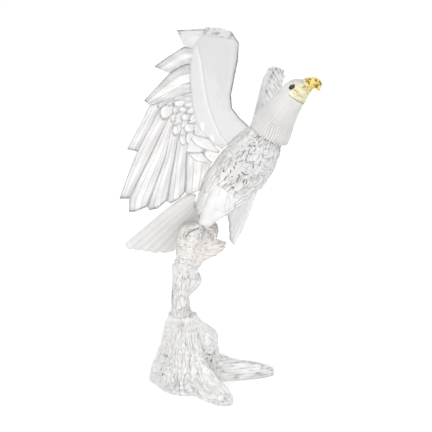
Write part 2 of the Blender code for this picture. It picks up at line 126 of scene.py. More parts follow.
# Places along the axis with half width, depth of the breast and depth of the back
BODY_SECTIONS = (
    (-36.0, 3.6, 3.4, 4.2), (-33.5, 6.8, 6.4, 7.0), (-27.5, 9.4, 9.2, 10.0), (-20.0, 11.8, 11.9, 12.4),
    (-12.0, 13.4, 14.6, 12.9), (-4.0, 14.2, 16.4, 12.8), (4.0, 14.2, 17.5, 12.4), (12.0, 13.2, 16.9, 11.2),
    (19.0, 11.2, 14.4, 9.6), (25.0, 9.2, 10.6, 8.6), (31.0, 7.0, 7.2, 6.8), (35.0, 5.2, 5.4, 5.2),
)
BODY_COLUMNS = 280
BODY_ROWS = 200
BODY_FACETS = 26
BREAST_FACETS = 64
ROOM_COLUMNS = 56
ROOM_LIFT = 0.35

# Limbs: points from the seat with the radius at each, and the columns and rows of their grids
THIGHS = (
    (((24.5, -9.5, 22.6), 6.5), ((20.0, -9.2, 15.1), 7.2), ((15.0, -7.0, 7.6), 5.2), ((11.5, -5.0, 1.4), 3.4)),
    (((22.0, 4.0, 21.6), 6.5), ((18.5, 5.0, 14.6), 6.6), ((14.5, 4.6, 7.6), 4.8), ((12.0, 3.8, 1.4), 3.2)),
)
TOES = (
    (((12.0, -5.0, 2.2), 2.0), ((15.6, -7.0, 1.2), 1.7), ((17.6, -7.8, -2.0), 1.3), ((17.4, -7.6, -5.0), 0.6)),
    (((11.0, -5.0, 2.2), 2.0), ((10.4, -8.8, 1.2), 1.7), ((9.6, -10.8, -2.2), 1.3), ((9.4, -10.6, -5.4), 0.6)),
    (((10.6, -5.0, 2.0), 1.9), ((4.6, -6.6, 1.2), 1.6), ((1.4, -7.8, -1.8), 1.2), ((1.2, -7.6, -4.4), 0.6)),
    (((12.0, 3.8, 2.2), 1.9), ((15.4, 6.6, 1.0), 1.6), ((16.2, 8.2, -2.0), 1.2), ((16.0, 8.0, -4.8), 0.6)),
    (((12.6, 3.6, 2.0), 1.9), ((17.0, 1.0, 1.0), 1.6), ((18.2, 0.6, -2.2), 1.2), ((18.0, 0.6, -5.0), 0.6)),
)
# Toes sunk into the bark
TOE_SINK = 1.5
SUNK_TOES = tuple(tuple(((x, y, z - TOE_SINK), radius) for (x, y, z), radius in points) for points in TOES)
THIGH_GRID = (96, 60)
TOE_GRID = (32, 48)
LIMB_ROOM_GRID = (16, 8)

# Head: centre line points with half height and half width, then the joint plane of the beak
HEAD_SECTIONS = (
    ((46.5, -7.2, 52.8), 11.3, 11.2), ((48.6, -7.8, 57.0), 10.7, 10.4), ((50.9, -8.6, 61.6), 9.7, 9.2),
    ((53.7, -9.2, 66.2), 8.6, 8.0), ((56.5, -9.7, 70.4), 7.8, 7.0), ((58.9, -10.0, 73.8), 7.4, 6.5),
    ((61.4, -10.0, 76.1), 6.8, 5.9), ((63.7, -10.0, 77.5), 5.6, 4.8),
)
HEAD_SIDE = -10.0
HEAD_COLUMNS = 288
HEAD_ROWS = 90
HEAD_ROOM_GRID = (48, 16)
NECK_FLUTES = 24
NECK_HAIRS = 56
# Where the neck feathers end, and where the honey cheek ends above, as lines in side view
FACE_EDGE_X = 56.6
FACE_LOW = (57.1, 74.1)
FACE_SLOPE = -0.67
CHEEK_TOP = (60.0, 80.0)
CHEEK_SLOPE = 0.22
BEAK_PLANE = np.array([0.904, 0.0, 0.428])
BEAK_JOINT = BEAK_PLANE[0] * 64.1 + BEAK_PLANE[2] * 82.3
BEAK_SECTIONS = (
    ((64.1, 82.3), (67.7, 74.7), 3.7), ((66.3, 83.1), (68.0, 75.3), 3.5), ((68.5, 83.3), (68.3, 75.9), 3.2),
    ((70.5, 83.1), (68.8, 76.6), 2.9), ((72.2, 82.3), (69.4, 77.1), 2.5), ((73.4, 81.1), (70.1, 77.3), 2.1),
    ((73.9, 79.6), (70.7, 77.2), 1.7), ((73.5, 77.7), (71.2, 76.7), 1.2), ((73.0, 76.5), (71.5, 76.0), 0.7),
)
BEAK_GRID = (64, 48)
EYE_RADIUS = (1.75, 1.3, 1.45)
EYE_TILT = math.radians(35.0)
EYE_PLACE = (57.8, 4.6, 78.9)
EYE_OPENING = 0.82
EYE_GRID = (32, 20)
EYE_ROOM_GRID = (24, 12)

# Wing outline in its own plane, outwards negative and up positive, one entry for each of nine feathers
WING_LEAD = ((1.0, 68.0), (6.0, 66.2), (10.0, 60.2), (9.4, 51.0), (7.8, 43.0), (5.7, 32.2), (6.2, 25.2), (10.5, 19.8),
             (14.0, 16.6), (17.0, 13.4))
WING_ARM = ((-8.0, 68.3), (-15.0, 57.5), (-16.4, 48.0), (-16.4, 40.3), (-15.9, 32.7), (-14.8, 25.2), (-13.2, 18.8),
            (-10.5, 12.8), (-6.5, 7.5), (3.2, 0.8))
WING_TIPS = (
    ((-23.4, 66.9), (-22.2, 64.4), (-20.8, 61.4), (-19.3, 58.5)),
    ((-19.6, 57.9), (-27.5, 53.0), (-35.5, 47.5), (-27.2, 44.2)),
    ((-27.4, 43.6), (-34.0, 36.6), (-41.0, 29.3), (-37.8, 26.8)),
    ((-38.0, 26.2), (-44.2, 14.5), (-50.3, 3.2), (-44.9, 2.0)),
    ((-45.1, 1.4), (-50.0, -11.0), (-54.7, -23.5), (-49.6, -23.4)),
    ((-49.4, -24.2), (-49.5, -30.7), (-45.7, -30.4), (-40.2, -28.0)),
    ((-39.6, -28.1), (-38.2, -29.7), (-33.7, -28.7), (-29.4, -25.0)),
    ((-28.8, -25.0), (-26.5, -26.0), (-22.3, -23.6), (-19.4, -20.4)),
    ((-18.8, -20.5), (-16.2, -21.0), (-12.5, -19.6), (-8.6, -17.4)),
)
# Borders between the feathers, from inside the arm to the bend below the coverts
FEATHER_LINES = (
    ((-6.5, 67.5),),
    ((-13.0, 57.0),),
    ((-14.5, 49.5), (-21.5, 47.6)),
    ((-15.0, 33.5), (-29.0, 29.2)),
    ((-15.0, 30.0), (-27.5, 28.0), (-32.6, 25.0)),
    ((-14.6, 27.5), (-24.5, 24.5), (-28.4, 18.6)),
    ((-14.0, 24.5), (-23.0, 20.0), (-26.4, 13.9), (-29.8, -1.7)),
    ((-13.2, 21.0), (-20.5, 14.5), (-23.2, 7.4)),
    ((-11.4, 15.5), (-17.0, 7.0), (-18.4, 0.6)),
    ((4.5, 2.0), (-5.0, -6.0)),
)
# Along a feather: its thickness and the rows at its tip. Across it: its facets' height and painted light and shade
FEATHER_THICKNESS = ((0.0, 1.9), (0.2, 1.75), (0.45, 1.45), (0.7, 1.2), (0.88, 0.95), (0.98, 0.6), (1.0, 0.3))
FEATHER_TIP_ROWS = (0.965, 0.98, 0.99, 1.0)
FACET_HEIGHTS = ((0.0, 0.0), (0.315, 0.55), (0.645, 0.30), (1.0, -0.15))
FACET_SHADING = ((0.0, 0.82), (0.30, 0.84), (0.33, 0.91), (0.63, 0.93), (0.66, 0.82), (1.0, 0.80))
# The point of each tip that ends the feather's leading edge, the lines between a feather's three facets, and the
# extra columns of its grid
FEATHER_CORNERS = (0, 2, 2, 2, 2, 1, 1, 1, 1)
FACET_LINES = (0.315, 0.645)
FEATHER_COLUMNS = (0.012, 0.03, 0.05, 0.28, 0.30, 0.315, 0.33, 0.35, 0.61, 0.63, 0.645, 0.66, 0.68, 0.95, 0.97,
                   0.985, 1.06)
# How far the coverts reach on each feather, then each row's share of that, its depth, count and shift
COVERT_REACH = (0.0, 0.0, 0.0, 0.40, 0.28, 0.27, 0.30, 0.38, 0.48)
COVERT_ROWS = ((1.0, 0.22, 1.0, 0.0), (0.76, 0.20, 1.0, 0.5), (0.52, 0.18, 1.0, 0.15), (0.30, 0.16, 1.0, 0.6))
COVERT_LIFT = 0.32
FEATHER_STEP = 0.5
FEATHER_BEND = 2.0
WING_TWIST = 0.0018
TWIST_HEIGHT = 20.0
ARM_COLUMNS = 121
ARM_RIM_ROWS = (0.0, 0.01, 0.02, 0.035, 0.055, 0.08, 0.11)
ARM_HIGHLIGHT_DROPS = ((-9.6, 15.4), (-4.4, 8.4))
ARM_RIDGE = (0.9, 0.9, 0.795, 0.755, 0.71, 0.64, 0.6, 0.64, 0.71, 0.8)
RIGHT_SHOULDER = SEAT + np.array([20.4, -3.0, 39.7])
RIGHT_OUT = np.array([-1.0, 0.0, 0.0])
RIGHT_UP = np.array([0.0, 0.2588, 0.9659])
RIGHT_FACING = np.array([0.0, -0.9659, 0.2588])
LEFT_SHOULDER = SEAT + np.array([30.4, 7.2, 20.6])
LEFT_OUT = np.array([0.25, 0.896, -0.364])
LEFT_UP = np.array([0.28, 0.255, 0.893])
# How much painted shade darkens the rim of the arm and the rims of the feathers
RIGHT_RIM_SHADES = (0.26, 0.50)
LEFT_RIM_SHADES = (0.2, 0.35)

# Tail fan
TAIL_ROOT = SEAT + np.array([11.4, 6.1, 10.8])
TAIL_EDGE_RIGHT = ((14.0, -3.0), (20.6, 8.6), (31.2, 36.0))
TAIL_EDGE_LEFT = ((-5.0, -3.0), (-4.0, 16.0), (-3.4, 35.0))
TAIL_ENDS = ((30.9, 36.4), (29.4, 39.0), (26.6, 40.1), (24.2, 39.3), (21.2, 39.7), (18.3, 39.0), (15.4, 39.3),
             (12.2, 38.6), (8.6, 38.8), (5.6, 37.8), (2.4, 37.4), (-0.6, 36.4), (-3.2, 34.4))
TAIL_FEATHERS = 6
TAIL_SAMPLES = 17
TAIL_TIP_ROWS = (0.975, 0.99, 1.0)
TAIL_THICKNESS = ((0.0, 1.5), (0.3, 1.4), (0.6, 1.1), (0.85, 0.95), (0.98, 0.6), (1.0, 0.3))

# Height of the fine unevenness in the crystal
BUMP_HEIGHT = 0.3


def reading(table, value):
    """Values of a two-column list at places between its rows."""
    return np.interp(value, [row[0] for row in table], [row[1] for row in table])


def along(points, place):
    """Points on a list of equally spaced points, place counted in steps."""
    steps = np.arange(len(points))
    return np.stack([np.interp(place, steps, [p[axis] for p in points]) for axis in range(len(points[0]))], -1)


def rounded_table(table, share, softness):
    """A table's value averaged over a short stretch, so that its corners are round."""
    offsets = np.linspace(-softness, softness, 5)
    return sum(reading(table, share + offset) for offset in offsets) / len(offsets)


def ease(value):
    """Smooth rise from 0 to 1."""
    value = np.clip(value, 0.0, 1.0)
    return value * value * (3.0 - 2.0 * value)


def bell(offset, width, power=2):
    """Bell-shaped share: 1 at no offset, falling off over a width."""
    return np.exp(-(offset / width) ** power)


def mixed(first, second, share):
    """The first value or colour, turning into the second as the share goes from 0 to 1."""
    return np.asarray(first) * (1.0 - share) + np.asarray(second) * share


def from_bearing(angle, bearing):
    """Degrees off a bearing, between -180 and 180."""
    return (angle - bearing + 180.0) % 360.0 - 180.0


def circle(count):
    """Equally spaced angles round a full turn."""
    return np.linspace(0.0, math.tau, count, endpoint=False)


def tinted(tone, hue):
    """Tints from a grid of tones and a hue."""
    return tone[..., None] * np.asarray(hue)


def scatter(cell_x, cell_y, seed):
    """A repeatable number between 0 and 1 for each cell."""
    wave = np.sin(cell_x * 127.1 + cell_y * 311.7 + seed * 74.7) * 43758.5453
    return wave - np.floor(wave)


def ring_grain(angle, cells, y, seed):
    """Noise that closes on itself round a ring."""
    turn = angle / math.tau * cells
    wrapped = np.mod(turn, cells)
    x0 = np.floor(wrapped)
    fx = ease(wrapped - x0)
    x1 = np.mod(x0 + 1, cells)
    y0 = np.floor(y)
    fy = ease(y - y0)
    low = mixed(scatter(x0, y0, seed), scatter(x1, y0, seed), fx)
    high = mixed(scatter(x0, y0 + 1, seed), scatter(x1, y0 + 1, seed), fx)
    return mixed(low, high, fy) * 2.0 - 1.0


def shards(x, y, wrap, seed):
    """Uneven cells that close on themselves in x: a value, the distance to the border and the offset in each."""
    x0, y0 = np.floor(x), np.floor(y)
    nearest = np.full(x.shape, 9.0)
    second = np.full(x.shape, 9.0)
    value = np.zeros(x.shape)
    across = np.zeros(x.shape)
    down = np.zeros(x.shape)
    for step_x in (-1, 0, 1):
        for step_y in (-1, 0, 1):
            cell_x, cell_y = x0 + step_x, y0 + step_y
            key = np.mod(cell_x, wrap)
            off_x = x - (cell_x + 0.5 + 0.85 * (scatter(key, cell_y, seed) - 0.5))
            off_y = y - (cell_y + 0.5 + 0.85 * (scatter(key, cell_y, seed + 1) - 0.5))
            distance = np.hypot(off_x, off_y)
            closer = distance < nearest
            second = np.where(closer, nearest, np.minimum(second, distance))
            nearest = np.where(closer, distance, nearest)
            value = np.where(closer, scatter(key, cell_y, seed + 2), value)
            across = np.where(closer, off_x, across)
            down = np.where(closer, off_y, down)
    return value, second - nearest, across, down


def ring_shards(turn, count, slide, down, seed):
    """Uneven cells round a ring, a count of them side by side, slid along it."""
    return shards(turn / math.tau * count + slide, down, count, seed)


def new_object(name, verts, faces, tints=None):
    """Object from points in millimetres, with its faces turned outwards and a tint on each point."""
    mesh = bpy.data.meshes.new(name)
    mesh.from_pydata((np.asarray(verts, dtype=float) * MM).tolist(), [], faces)
    bm = bmesh.new()
    bm.from_mesh(mesh)
    bmesh.ops.recalc_face_normals(bm, faces=bm.faces)
    bm.to_mesh(mesh)
    bm.free()
    if tints is None:
        tints = np.full((len(mesh.vertices), 3), PLAIN_TINT)
    values = np.concatenate([np.clip(tints, 0.0, 1.0), np.ones((len(tints), 1))], 1)
    layer = mesh.color_attributes.new("tint", "FLOAT_COLOR", "POINT")
    layer.data.foreach_set("color", values.astype(np.float32).ravel())
    obj = bpy.data.objects.new(name, mesh)
    bpy.context.scene.collection.objects.link(obj)
    return obj


def ring_stack(name, rings, tints=None):
    """Closed body through an array of rings, with a fan at both ends."""
    rings = np.asarray(rings, dtype=float)
    levels, count, _ = rings.shape
    verts = np.concatenate([rings.reshape(-1, 3), rings[:1].mean(axis=1), rings[-1:].mean(axis=1)])
    if tints is not None:
        tints = np.concatenate([tints.reshape(-1, 3), tints[:1].mean(axis=1), tints[-1:].mean(axis=1)])
    faces = []
    for level in range(levels - 1):
        start = level * count
        for step in range(count):
            after = (step + 1) % count
            faces.append((start + step, start + after, start + count + after, start + count + step))
    for level, middle in ((0, levels * count), (levels - 1, levels * count + 1)):
        for step in range(count):
            faces.append((level * count + step, level * count + (step + 1) % count, middle))
    return new_object(name, verts, faces, tints)


def panel(name, front, back, tints):
    """Closed thin body between two grids of the same size."""
    columns, rows, _ = front.shape
    verts = np.concatenate([front.reshape(-1, 3), back.reshape(-1, 3)])
    tints = np.concatenate([tints.reshape(-1, 3), tints.reshape(-1, 3)])
    shift = columns * rows
    faces = []
    for i in range(columns - 1):
        for j in range(rows - 1):
            a, b = i * rows + j, (i + 1) * rows + j
            faces.append((a, b, b + 1, a + 1))
            faces.append((shift + a, shift + a + 1, shift + b + 1, shift + b))
    rim = [(i, 0) for i in range(columns)] + [(columns - 1, j) for j in range(1, rows)]
    rim += [(i, rows - 1) for i in range(columns - 2, -1, -1)] + [(0, j) for j in range(rows - 2, 0, -1)]
    marks = [i * rows + j for i, j in rim]
    for here, beside in zip(marks, marks[1:] + marks[:1]):
        faces.append((here, beside, shift + beside, shift + here))
    return new_object(name, verts, faces, tints)


def tints_of(obj):
    """Tint of each point of an object."""
    values = np.zeros(len(obj.data.vertices) * 4, dtype=np.float32)
    obj.data.color_attributes["tint"].data.foreach_get("color", values)
    return values.reshape(-1, 4)


def combined(target, other, operation):
    """Target after a cut by the other object, or a union with it; each point keeps its tint, and the other goes."""
    tree = KDTree(len(target.data.vertices) + len(other.data.vertices))
    known = np.concatenate([tints_of(target), tints_of(other)])
    for source, start in ((target, 0), (other, len(target.data.vertices))):
        for vertex in source.data.vertices:
            tree.insert(vertex.co, start + vertex.index)
    tree.balance()
    change = target.modifiers.new(operation, "BOOLEAN")
    change.object = other
    change.operation = operation
    change.solver = "EXACT"
    graph = bpy.context.evaluated_depsgraph_get()
    result = bpy.data.meshes.new_from_object(target.evaluated_get(graph))
    target.modifiers.clear()
    target.data = result
    bpy.data.objects.remove(other, do_unlink=True)
    nearest = [tree.find(vertex.co)[1] for vertex in result.vertices]
    result.color_attributes["tint"].data.foreach_set("color", known[nearest].ravel())
    return target


def smooth_line(points, place):
    """Curve through equally spaced points."""
    points = np.asarray(points, dtype=float)
    last = len(points) - 1
    start = np.clip(np.floor(place).astype(int), 0, last - 1)
    t = (place - start)[..., None]
    p0, p1 = points[np.maximum(start - 1, 0)], points[start]
    p2, p3 = points[start + 1], points[np.minimum(start + 2, last)]
    return 0.5 * (2 * p1 + (p2 - p0) * t + (2 * p0 - 5 * p1 + 4 * p2 - p3) * t ** 2
                  + (3 * p1 - p0 - 3 * p2 + p3) * t ** 3)


def crossways(line, index, reference):
    """Direction of a line at one of its points, and the direction square to it and to a reference."""
    before, after = line[max(index - 1, 0)], line[min(index + 1, len(line) - 1)]
    direction = (after - before) / np.linalg.norm(after - before)
    side = np.cross(direction, reference)
    return direction, side / np.linalg.norm(side)


def stump_surface():
    """Points of the stump and their tints: fibres along the roots, flakes, and a toothed lip round the branch."""
    share = np.linspace(0.0, 1.0, STUMP_ROWS) ** 1.2
    angle = np.linspace(-180.0, 180.0, STUMP_COLUMNS, endpoint=False)
    share, angle = np.meshgrid(share, angle, indexing="ij")
    trunk = reading(TRUNK, share)
    radius = trunk.copy()
    for bearing, spread_down, spread_up, reach in ROOTS:
        turn = from_bearing(angle, bearing)
        swell = bell(np.abs(turn), np.where(turn > 0, spread_up, spread_down), ROOT_BLUNTNESS)
        radius = np.maximum(radius, trunk + (rounded_table(reach, share, 0.03) - trunk) * swell)
    turn = np.radians(angle)
    fade = np.clip(share / 0.1, 0.3, 1.0) * np.clip((1.0 - share) / 0.04, 0.0, 1.0)
    drift = ring_grain(turn, 14, share * 5.0, seed=3)
    drift = drift + 0.7 * ring_grain(turn, 46, share * 11.0, seed=4)
    fibre = np.abs(np.sin(turn * STUMP_FIBRES + drift * 3.2 + share * 2.4)) ** 0.6
    long_root = bell(angle - ROOTS[2][0], 15.0, 4) * ease((radius - 17.0) / 6.0)
    strand = np.abs(np.sin(share * 78.0 + 1.3 * ring_grain(turn, 60, share * 3.0, seed=12))) ** 0.7
    flake, flake_border, _, _ = ring_shards(turn, STUMP_FLAKES, 0.5 * drift, share * 13.0, seed=111)
    fine = 1.0 - bell(flake_border, 0.10) * (0.3 + 0.7 * np.mod(flake * 5.3, 1.0))
    crumb = ring_grain(turn + share * 0.1, 130, share * 34.0, seed=5)
    lumps = ring_grain(turn, 40, share * 9.0, seed=8)
    relief = 0.95 * fibre - 1.2 + 0.5 * long_root * (strand - 0.7) + 0.4 * fine + 0.5 * (flake - 0.5) + 0.4 * lumps
    radius += fade * np.clip(radius / 16.0, 0.8, 1.8) * relief
    radius += fade * 0.25 * crumb
    verts = np.stack([radius * np.cos(turn), radius * np.sin(turn), share * STUMP_HEIGHT], -1)
    # Dark specks on three sides of the stump, painted as dark glints in the crystal.
    sides = sum(bell(angle - bearing, spread) for bearing, spread in DARK_GLINT_BEARINGS)
    speck, speck_border, _, _ = ring_shards(turn, STUMP_DARK_GLINTS, 0.0, share * 42.0, seed=151)
    speck = (speck > 0.78) * ease((speck_border - 0.05) / 0.2) * ease((sides - 0.3) / 0.3)
    speck = speck * ease((0.55 - share) / 0.1) * ease((share - 0.12) / 0.08)
    # Painted shade in the fibre grooves and along the flake borders, painted light on the raised lumps and crumbs.
    tone = 1.0 - 0.24 * (1.0 - fibre) ** 2 - 0.46 * (1.0 - fine) - 0.10 * flake + 0.05 * lumps + 0.10 * crumb
    # Painted dark glints at the specks, and painted shade in the grooves of the long root's strands.
    tone = tone - 0.75 * speck - 0.4 * long_root * bell(strand, 0.4)
    # Painted light: the top rows lighter, lifting the shade where the branch stands in the stump.
    tone[-2:] = 0.5 * tone[-2:] + 0.48
    verts[-1, :, 2] += 1.0 + 0.7 * ring_grain(turn[-1], 40, share[-1], seed=13)
    inner = verts[-1].copy()
    inner[:, :2] *= LIP_RADIUS / np.hypot(inner[:, 0], inner[:, 1])[:, None]
    inner[:, 2] = STUMP_HEIGHT
    verts = np.concatenate([verts, inner[None]])
    tone = np.concatenate([tone, tone[-1:]])
    return verts, tinted(tone, STUMP_HUE)


def perch_surface():
    """Points of the perch and their tints: long flakes below, short cross-cut flakes above, a ragged stub."""
    share = np.linspace(0.0, 1.0, PERCH_ROWS)
    angle = np.linspace(0.0, 360.0, PERCH_COLUMNS, endpoint=False)
    share, angle = np.meshgrid(share, angle, indexing="ij")
    radius = rounded_table(PERCH_RADIUS, share, 0.01)
    bearing, spread, _ = PERCH_LIMBS[0]
    aside = from_bearing(angle, bearing)
    stub = bell(np.abs(aside), spread, 4) * ease((share - 0.6) / 0.08) * ease((0.9 - share) / 0.04)
    for bearing, spread, reach in PERCH_LIMBS:
        swell = bell(np.abs(from_bearing(angle, bearing)), spread, KNOB_BLUNTNESS)
        radius = radius + rounded_table(reach, share, 0.008) * swell
    turn = np.radians(angle)
    layer_place = share * 42.0 - 0.035 * aside + 0.3 * ring_grain(turn, 20, share * 9.0, seed=6)
    layer = np.abs(np.sin(layer_place * 1.7))
    radius += stub * (0.7 * layer ** 0.6 - 0.5)
    sway = 0.5 * ring_grain(turn, 10, share * 7.0, seed=2)
    short_flakes = ring_shards(turn, SHORT_FLAKES, sway, share * 30.0, seed=81)
    long_flakes = ring_shards(turn, LONG_FLAKES, sway, share * 9.0, seed=91)
    upper = ease((share - 0.52 + 0.05 * np.sin(turn * 3.0)) / 0.06)
    value, border, tilt = (mixed(below, above, upper) for below, above in zip(long_flakes[:3], short_flakes[:3]))
    grit, grit_border, grit_across, grit_down = ring_shards(turn, PERCH_GRIT, 0.0, share * 36.0, seed=101)
    radius += 1.5 * (value - 0.62) + 1.2 * tilt * (np.mod(value * 7.1, 1.0) - 0.5) + 0.3 * (grit - 0.5)
    radius -= 0.35 * bell(border, 0.1)
    x = reading(PERCH_LINE, share) + radius * np.cos(turn)
    verts = np.stack([x, radius * np.sin(turn), PERCH_FOOT + share * PERCH_HEIGHT], -1)
    line = bell(border, 0.07) * (0.3 + 0.7 * np.mod(value * 5.3, 1.0))
    grit_line = bell(grit_border, 0.1) * (grit > 0.45)
    stroke = bell(np.where(upper > 0.5, grit_down, grit_across), 0.14)
    # Painted shade: darker along the flake borders, which are cut in as grooves.
    tone = 1.04 - 0.10 * value - (0.46 - 0.14 * upper) * line - 0.16 * grit_line
    # The last term is painted light, lifting the shade at the foot where the branch stands in the stump.
    tone = tone - (0.7 - 0.25 * upper) * stroke * (grit > 0.88) + 0.3 * bell(share, 0.03)
    # Painted shade in the grooves between the stub's layers.
    tone = tone - 0.45 * stub * bell(layer, 0.3)
    strip = bell(from_bearing(angle, CLEAR_STRIP[0]), CLEAR_STRIP[1])
    warmth = (0.25 + 0.75 * upper) * (0.6 + 0.4 * (value > 0.4)) * (1.0 - 0.85 * strip)
    return verts, tinted(tone, mixed(WHITE, PERCH_BROWN, warmth[..., None]))


def body_surface(place, turn, lift):
    """Points on the bird's trunk at places along its axis, lifted off the plain surface."""
    stations, widths, bellies, backs = np.array(BODY_SECTIONS).T
    side, rise = np.cos(turn), np.sin(turn)
    half_width = np.interp(place, stations, widths) + lift
    depth = np.where(rise > 0, np.interp(place, stations, backs), np.interp(place, stations, bellies)) + lift
    return (BODY_CENTRE + place[..., None] * BODY_AXIS + (side * half_width)[..., None] * BODY_RIGHT
            + (rise * depth)[..., None] * BODY_BACK)


def chest_relief(place, turn):
    """Height and tint of the body: small cut facets near the neck that grow long and flat towards the tail."""
    from_neck = BODY_SECTIONS[-1][0] - place
    rows = 7.2 * np.log(1.0 + 0.13 * from_neck / 2.3)
    lean = turn + 0.010 * place
    sway = 0.4 * ring_grain(turn, 9, rows * 0.5, seed=21)
    value, border, across, down = ring_shards(lean, BODY_FACETS, sway, rows, seed=61)
    fine, fine_border, fine_across, fine_down = ring_shards(lean, BREAST_FACETS, 0.0, rows * 2.5, seed=71)
    chest = ease((place + 8.0 + 7.0 * np.cos(turn + 1.0)) / 9.0)
    tilt = np.mod(value * 7.3, 1.0) - 0.5
    slope = np.mod(value * 3.7, 1.0) - 0.5
    height = 1.1 * across * tilt + down * slope + 0.5 * (value - 0.5)
    height = height + chest * 0.25 * (fine - 0.5) - 0.3 * bell(border, 0.08) - 0.25
    line = bell(border, 0.055) * (0.35 + 0.65 * np.mod(value * 5.1, 1.0))
    heading = math.pi * np.mod(fine * 13.0, 1.0)
    stroke = bell(fine_across * np.cos(heading) + fine_down * np.sin(heading), 0.13) * chest
    middle = ease((np.cos(turn + 0.7) - 0.86) / 0.08)
    # Painted shade: darker along the facet borders, which are cut in as grooves.
    tone = 0.98 - 0.10 * value - 0.42 * line - chest * 0.27 * bell(fine_border, 0.09) * (value > 0.2)
    # Painted glints: dark strokes, strongest in the middle strip, and light strokes as painted highlights.
    tone = tone - (0.5 + 0.5 * middle) * stroke * (fine > 0.74 - 0.16 * middle)
    tone = tone + 0.25 * stroke * (fine < 0.40)
    flank = ease((np.cos(turn - 0.2) - 0.15) / 0.4)
    grooves = np.abs(np.sin(turn * 13.0 + 6.0 * value))
    tone = tone - (1.0 - chest) * flank * 0.25 * bell(grooves, 0.22)
    blush = ease((10.0 - place) / 12.0) * ease((place + 30.0) / 8.0) * flank * (value > 0.35)
    blush = (0.8 * blush + 0.25 * (fine > 0.9) * chest)[..., None]
    return height, tinted(tone + 0.06 * (1.0 - chest), mixed(BODY_HUE, BODY_BLUSH, blush))


def body_grid():
    """Points of the body's carved surface and their tints."""
    place = np.linspace(BODY_SECTIONS[0][0], BODY_SECTIONS[-1][0], BODY_ROWS)
    place, turn = np.meshgrid(place, circle(BODY_COLUMNS), indexing="ij")
    height, tints = chest_relief(place, turn)
    return body_surface(place, turn, height), tints


def body_cutter(grow):
    """Room for the body, grown by a gap past its carved surface."""
    place = np.array([row[0] for row in BODY_SECTIONS], dtype=float)
    place[0] -= grow
    place[-1] += grow
    place, turn = np.meshgrid(place, circle(ROOM_COLUMNS), indexing="ij")
    return ring_stack("body_room", body_surface(place, turn, grow + ROOM_LIFT))


def limb_rings(points, grow, count, rows):
    """Rings along a bent limb with round sections, through a smooth curve."""
    sections = smooth_line([(*place, radius) for place, radius in points], np.linspace(0, len(points) - 1, rows))
    line = sections[:, :3] + SEAT
    radius = sections[:, 3] + grow
    turn = circle(count)[:, None]
    rings = []
    for index in range(rows):
        direction, side = crossways(line, index, (0.3, 1.0, 0.1))
        across = np.cross(direction, side)
        rings.append(line[index] + (side * np.cos(turn) + across * np.sin(turn)) * radius[index])
    return np.array(rings)


def limb_tints(count, rows, tone, cells, streaks, grit):
    """Tints of a limb: pale facets, brown streaks on one side, and dark specks low down or, as grit, all over."""
    turn, row = np.meshgrid(circle(count), np.linspace(0.0, 1.0, rows))
    value, border, _, _ = ring_shards(turn, cells, 1.5 * row, row * cells * 0.7, seed=141)
    blade, blade_border, _, _ = ring_shards(turn, 6, row * 0.8, row * 2.6, seed=57)
    brown = np.maximum(streaks * ease((np.sin(turn + 2.6) + 0.2) / 0.5), 0.7 * grit)
    lines = bell(np.abs(np.sin(turn * 7.0 + 2.0 * np.sin(row * 5.0))), 0.3) * brown
    edge = bell(border, 0.08) * (value > 0.3)
    speck = (np.mod(value * 7.7, 1.0) > 0.7 - 0.25 * grit) * np.maximum(ease((row - 0.55) / 0.3), grit)
    values = tone - 0.08 * value - 0.28 * lines - (0.22 + 0.3 * grit) * edge
    values = values - (1.0 - grit) * (0.28 * blade + 0.24 * bell(blade_border, 0.06))
    values = values - (0.45 + 0.3 * grit) * speck * bell(border - 0.3, 0.15)
    return tinted(values, mixed(LIMB_HUE, LIMB_BROWN, brown[..., None]))


def head_rings(grow, columns, rows, carved):
    """Neck feathers and face, from the hem to the beak's joint plane."""
    sections = smooth_line([(*place, height, width) for place, height, width in HEAD_SECTIONS],
                           np.linspace(0, len(HEAD_SECTIONS) - 1, rows))
    line = sections[:, :3] + SEAT
    half_height, half_width = sections[:, 3], sections[:, 4]
    turn = circle(columns)
    rings = []
    for index in range(rows):
        direction, side = crossways(line, index, (0.0, 0.0, 1.0))
        rise = np.cross(side, direction)
        flute, slide = hackle(turn, index / (rows - 1)) if carved else np.zeros((2, columns))
        ring = (line[index] - direction * (grow if index == 0 else 0.0)
                + np.outer(np.cos(turn) * (half_width[index] + flute + grow), side)
                + np.outer(np.sin(turn) * (half_height[index] + flute + grow), rise) + np.outer(slide, direction))
        rings.append(ring)
    upper, lower, half = BEAK_SECTIONS[0]
    rings.append(pair_ring(upper, lower, half, columns, grow, -FIT_GAP * BEAK_PLANE))
    return np.array(rings)


def hackle(turn, share):
    """Height of the neck feathers' flutes and the slide of the scalloped hem."""
    fade = ease((0.62 - share) / 0.35)
    wander = 0.9 * ring_grain(turn, 12, np.full(len(turn), share * 4.0), seed=3)
    wave = np.abs(np.sin(turn * NECK_FLUTES + wander))
    uneven = np.clip(0.85 + 0.7 * ring_grain(turn, 31, np.full(len(turn), share * 7.0), seed=5), 0.35, 1.3)
    flute = fade * uneven * (0.28 * wave ** 0.7 - 0.2) + fade * 0.10 * np.sin(turn * (3 * NECK_FLUTES) + 3.0 * wander)
    slide = -wave * ease((0.12 - share) / 0.12)
    return flute, slide


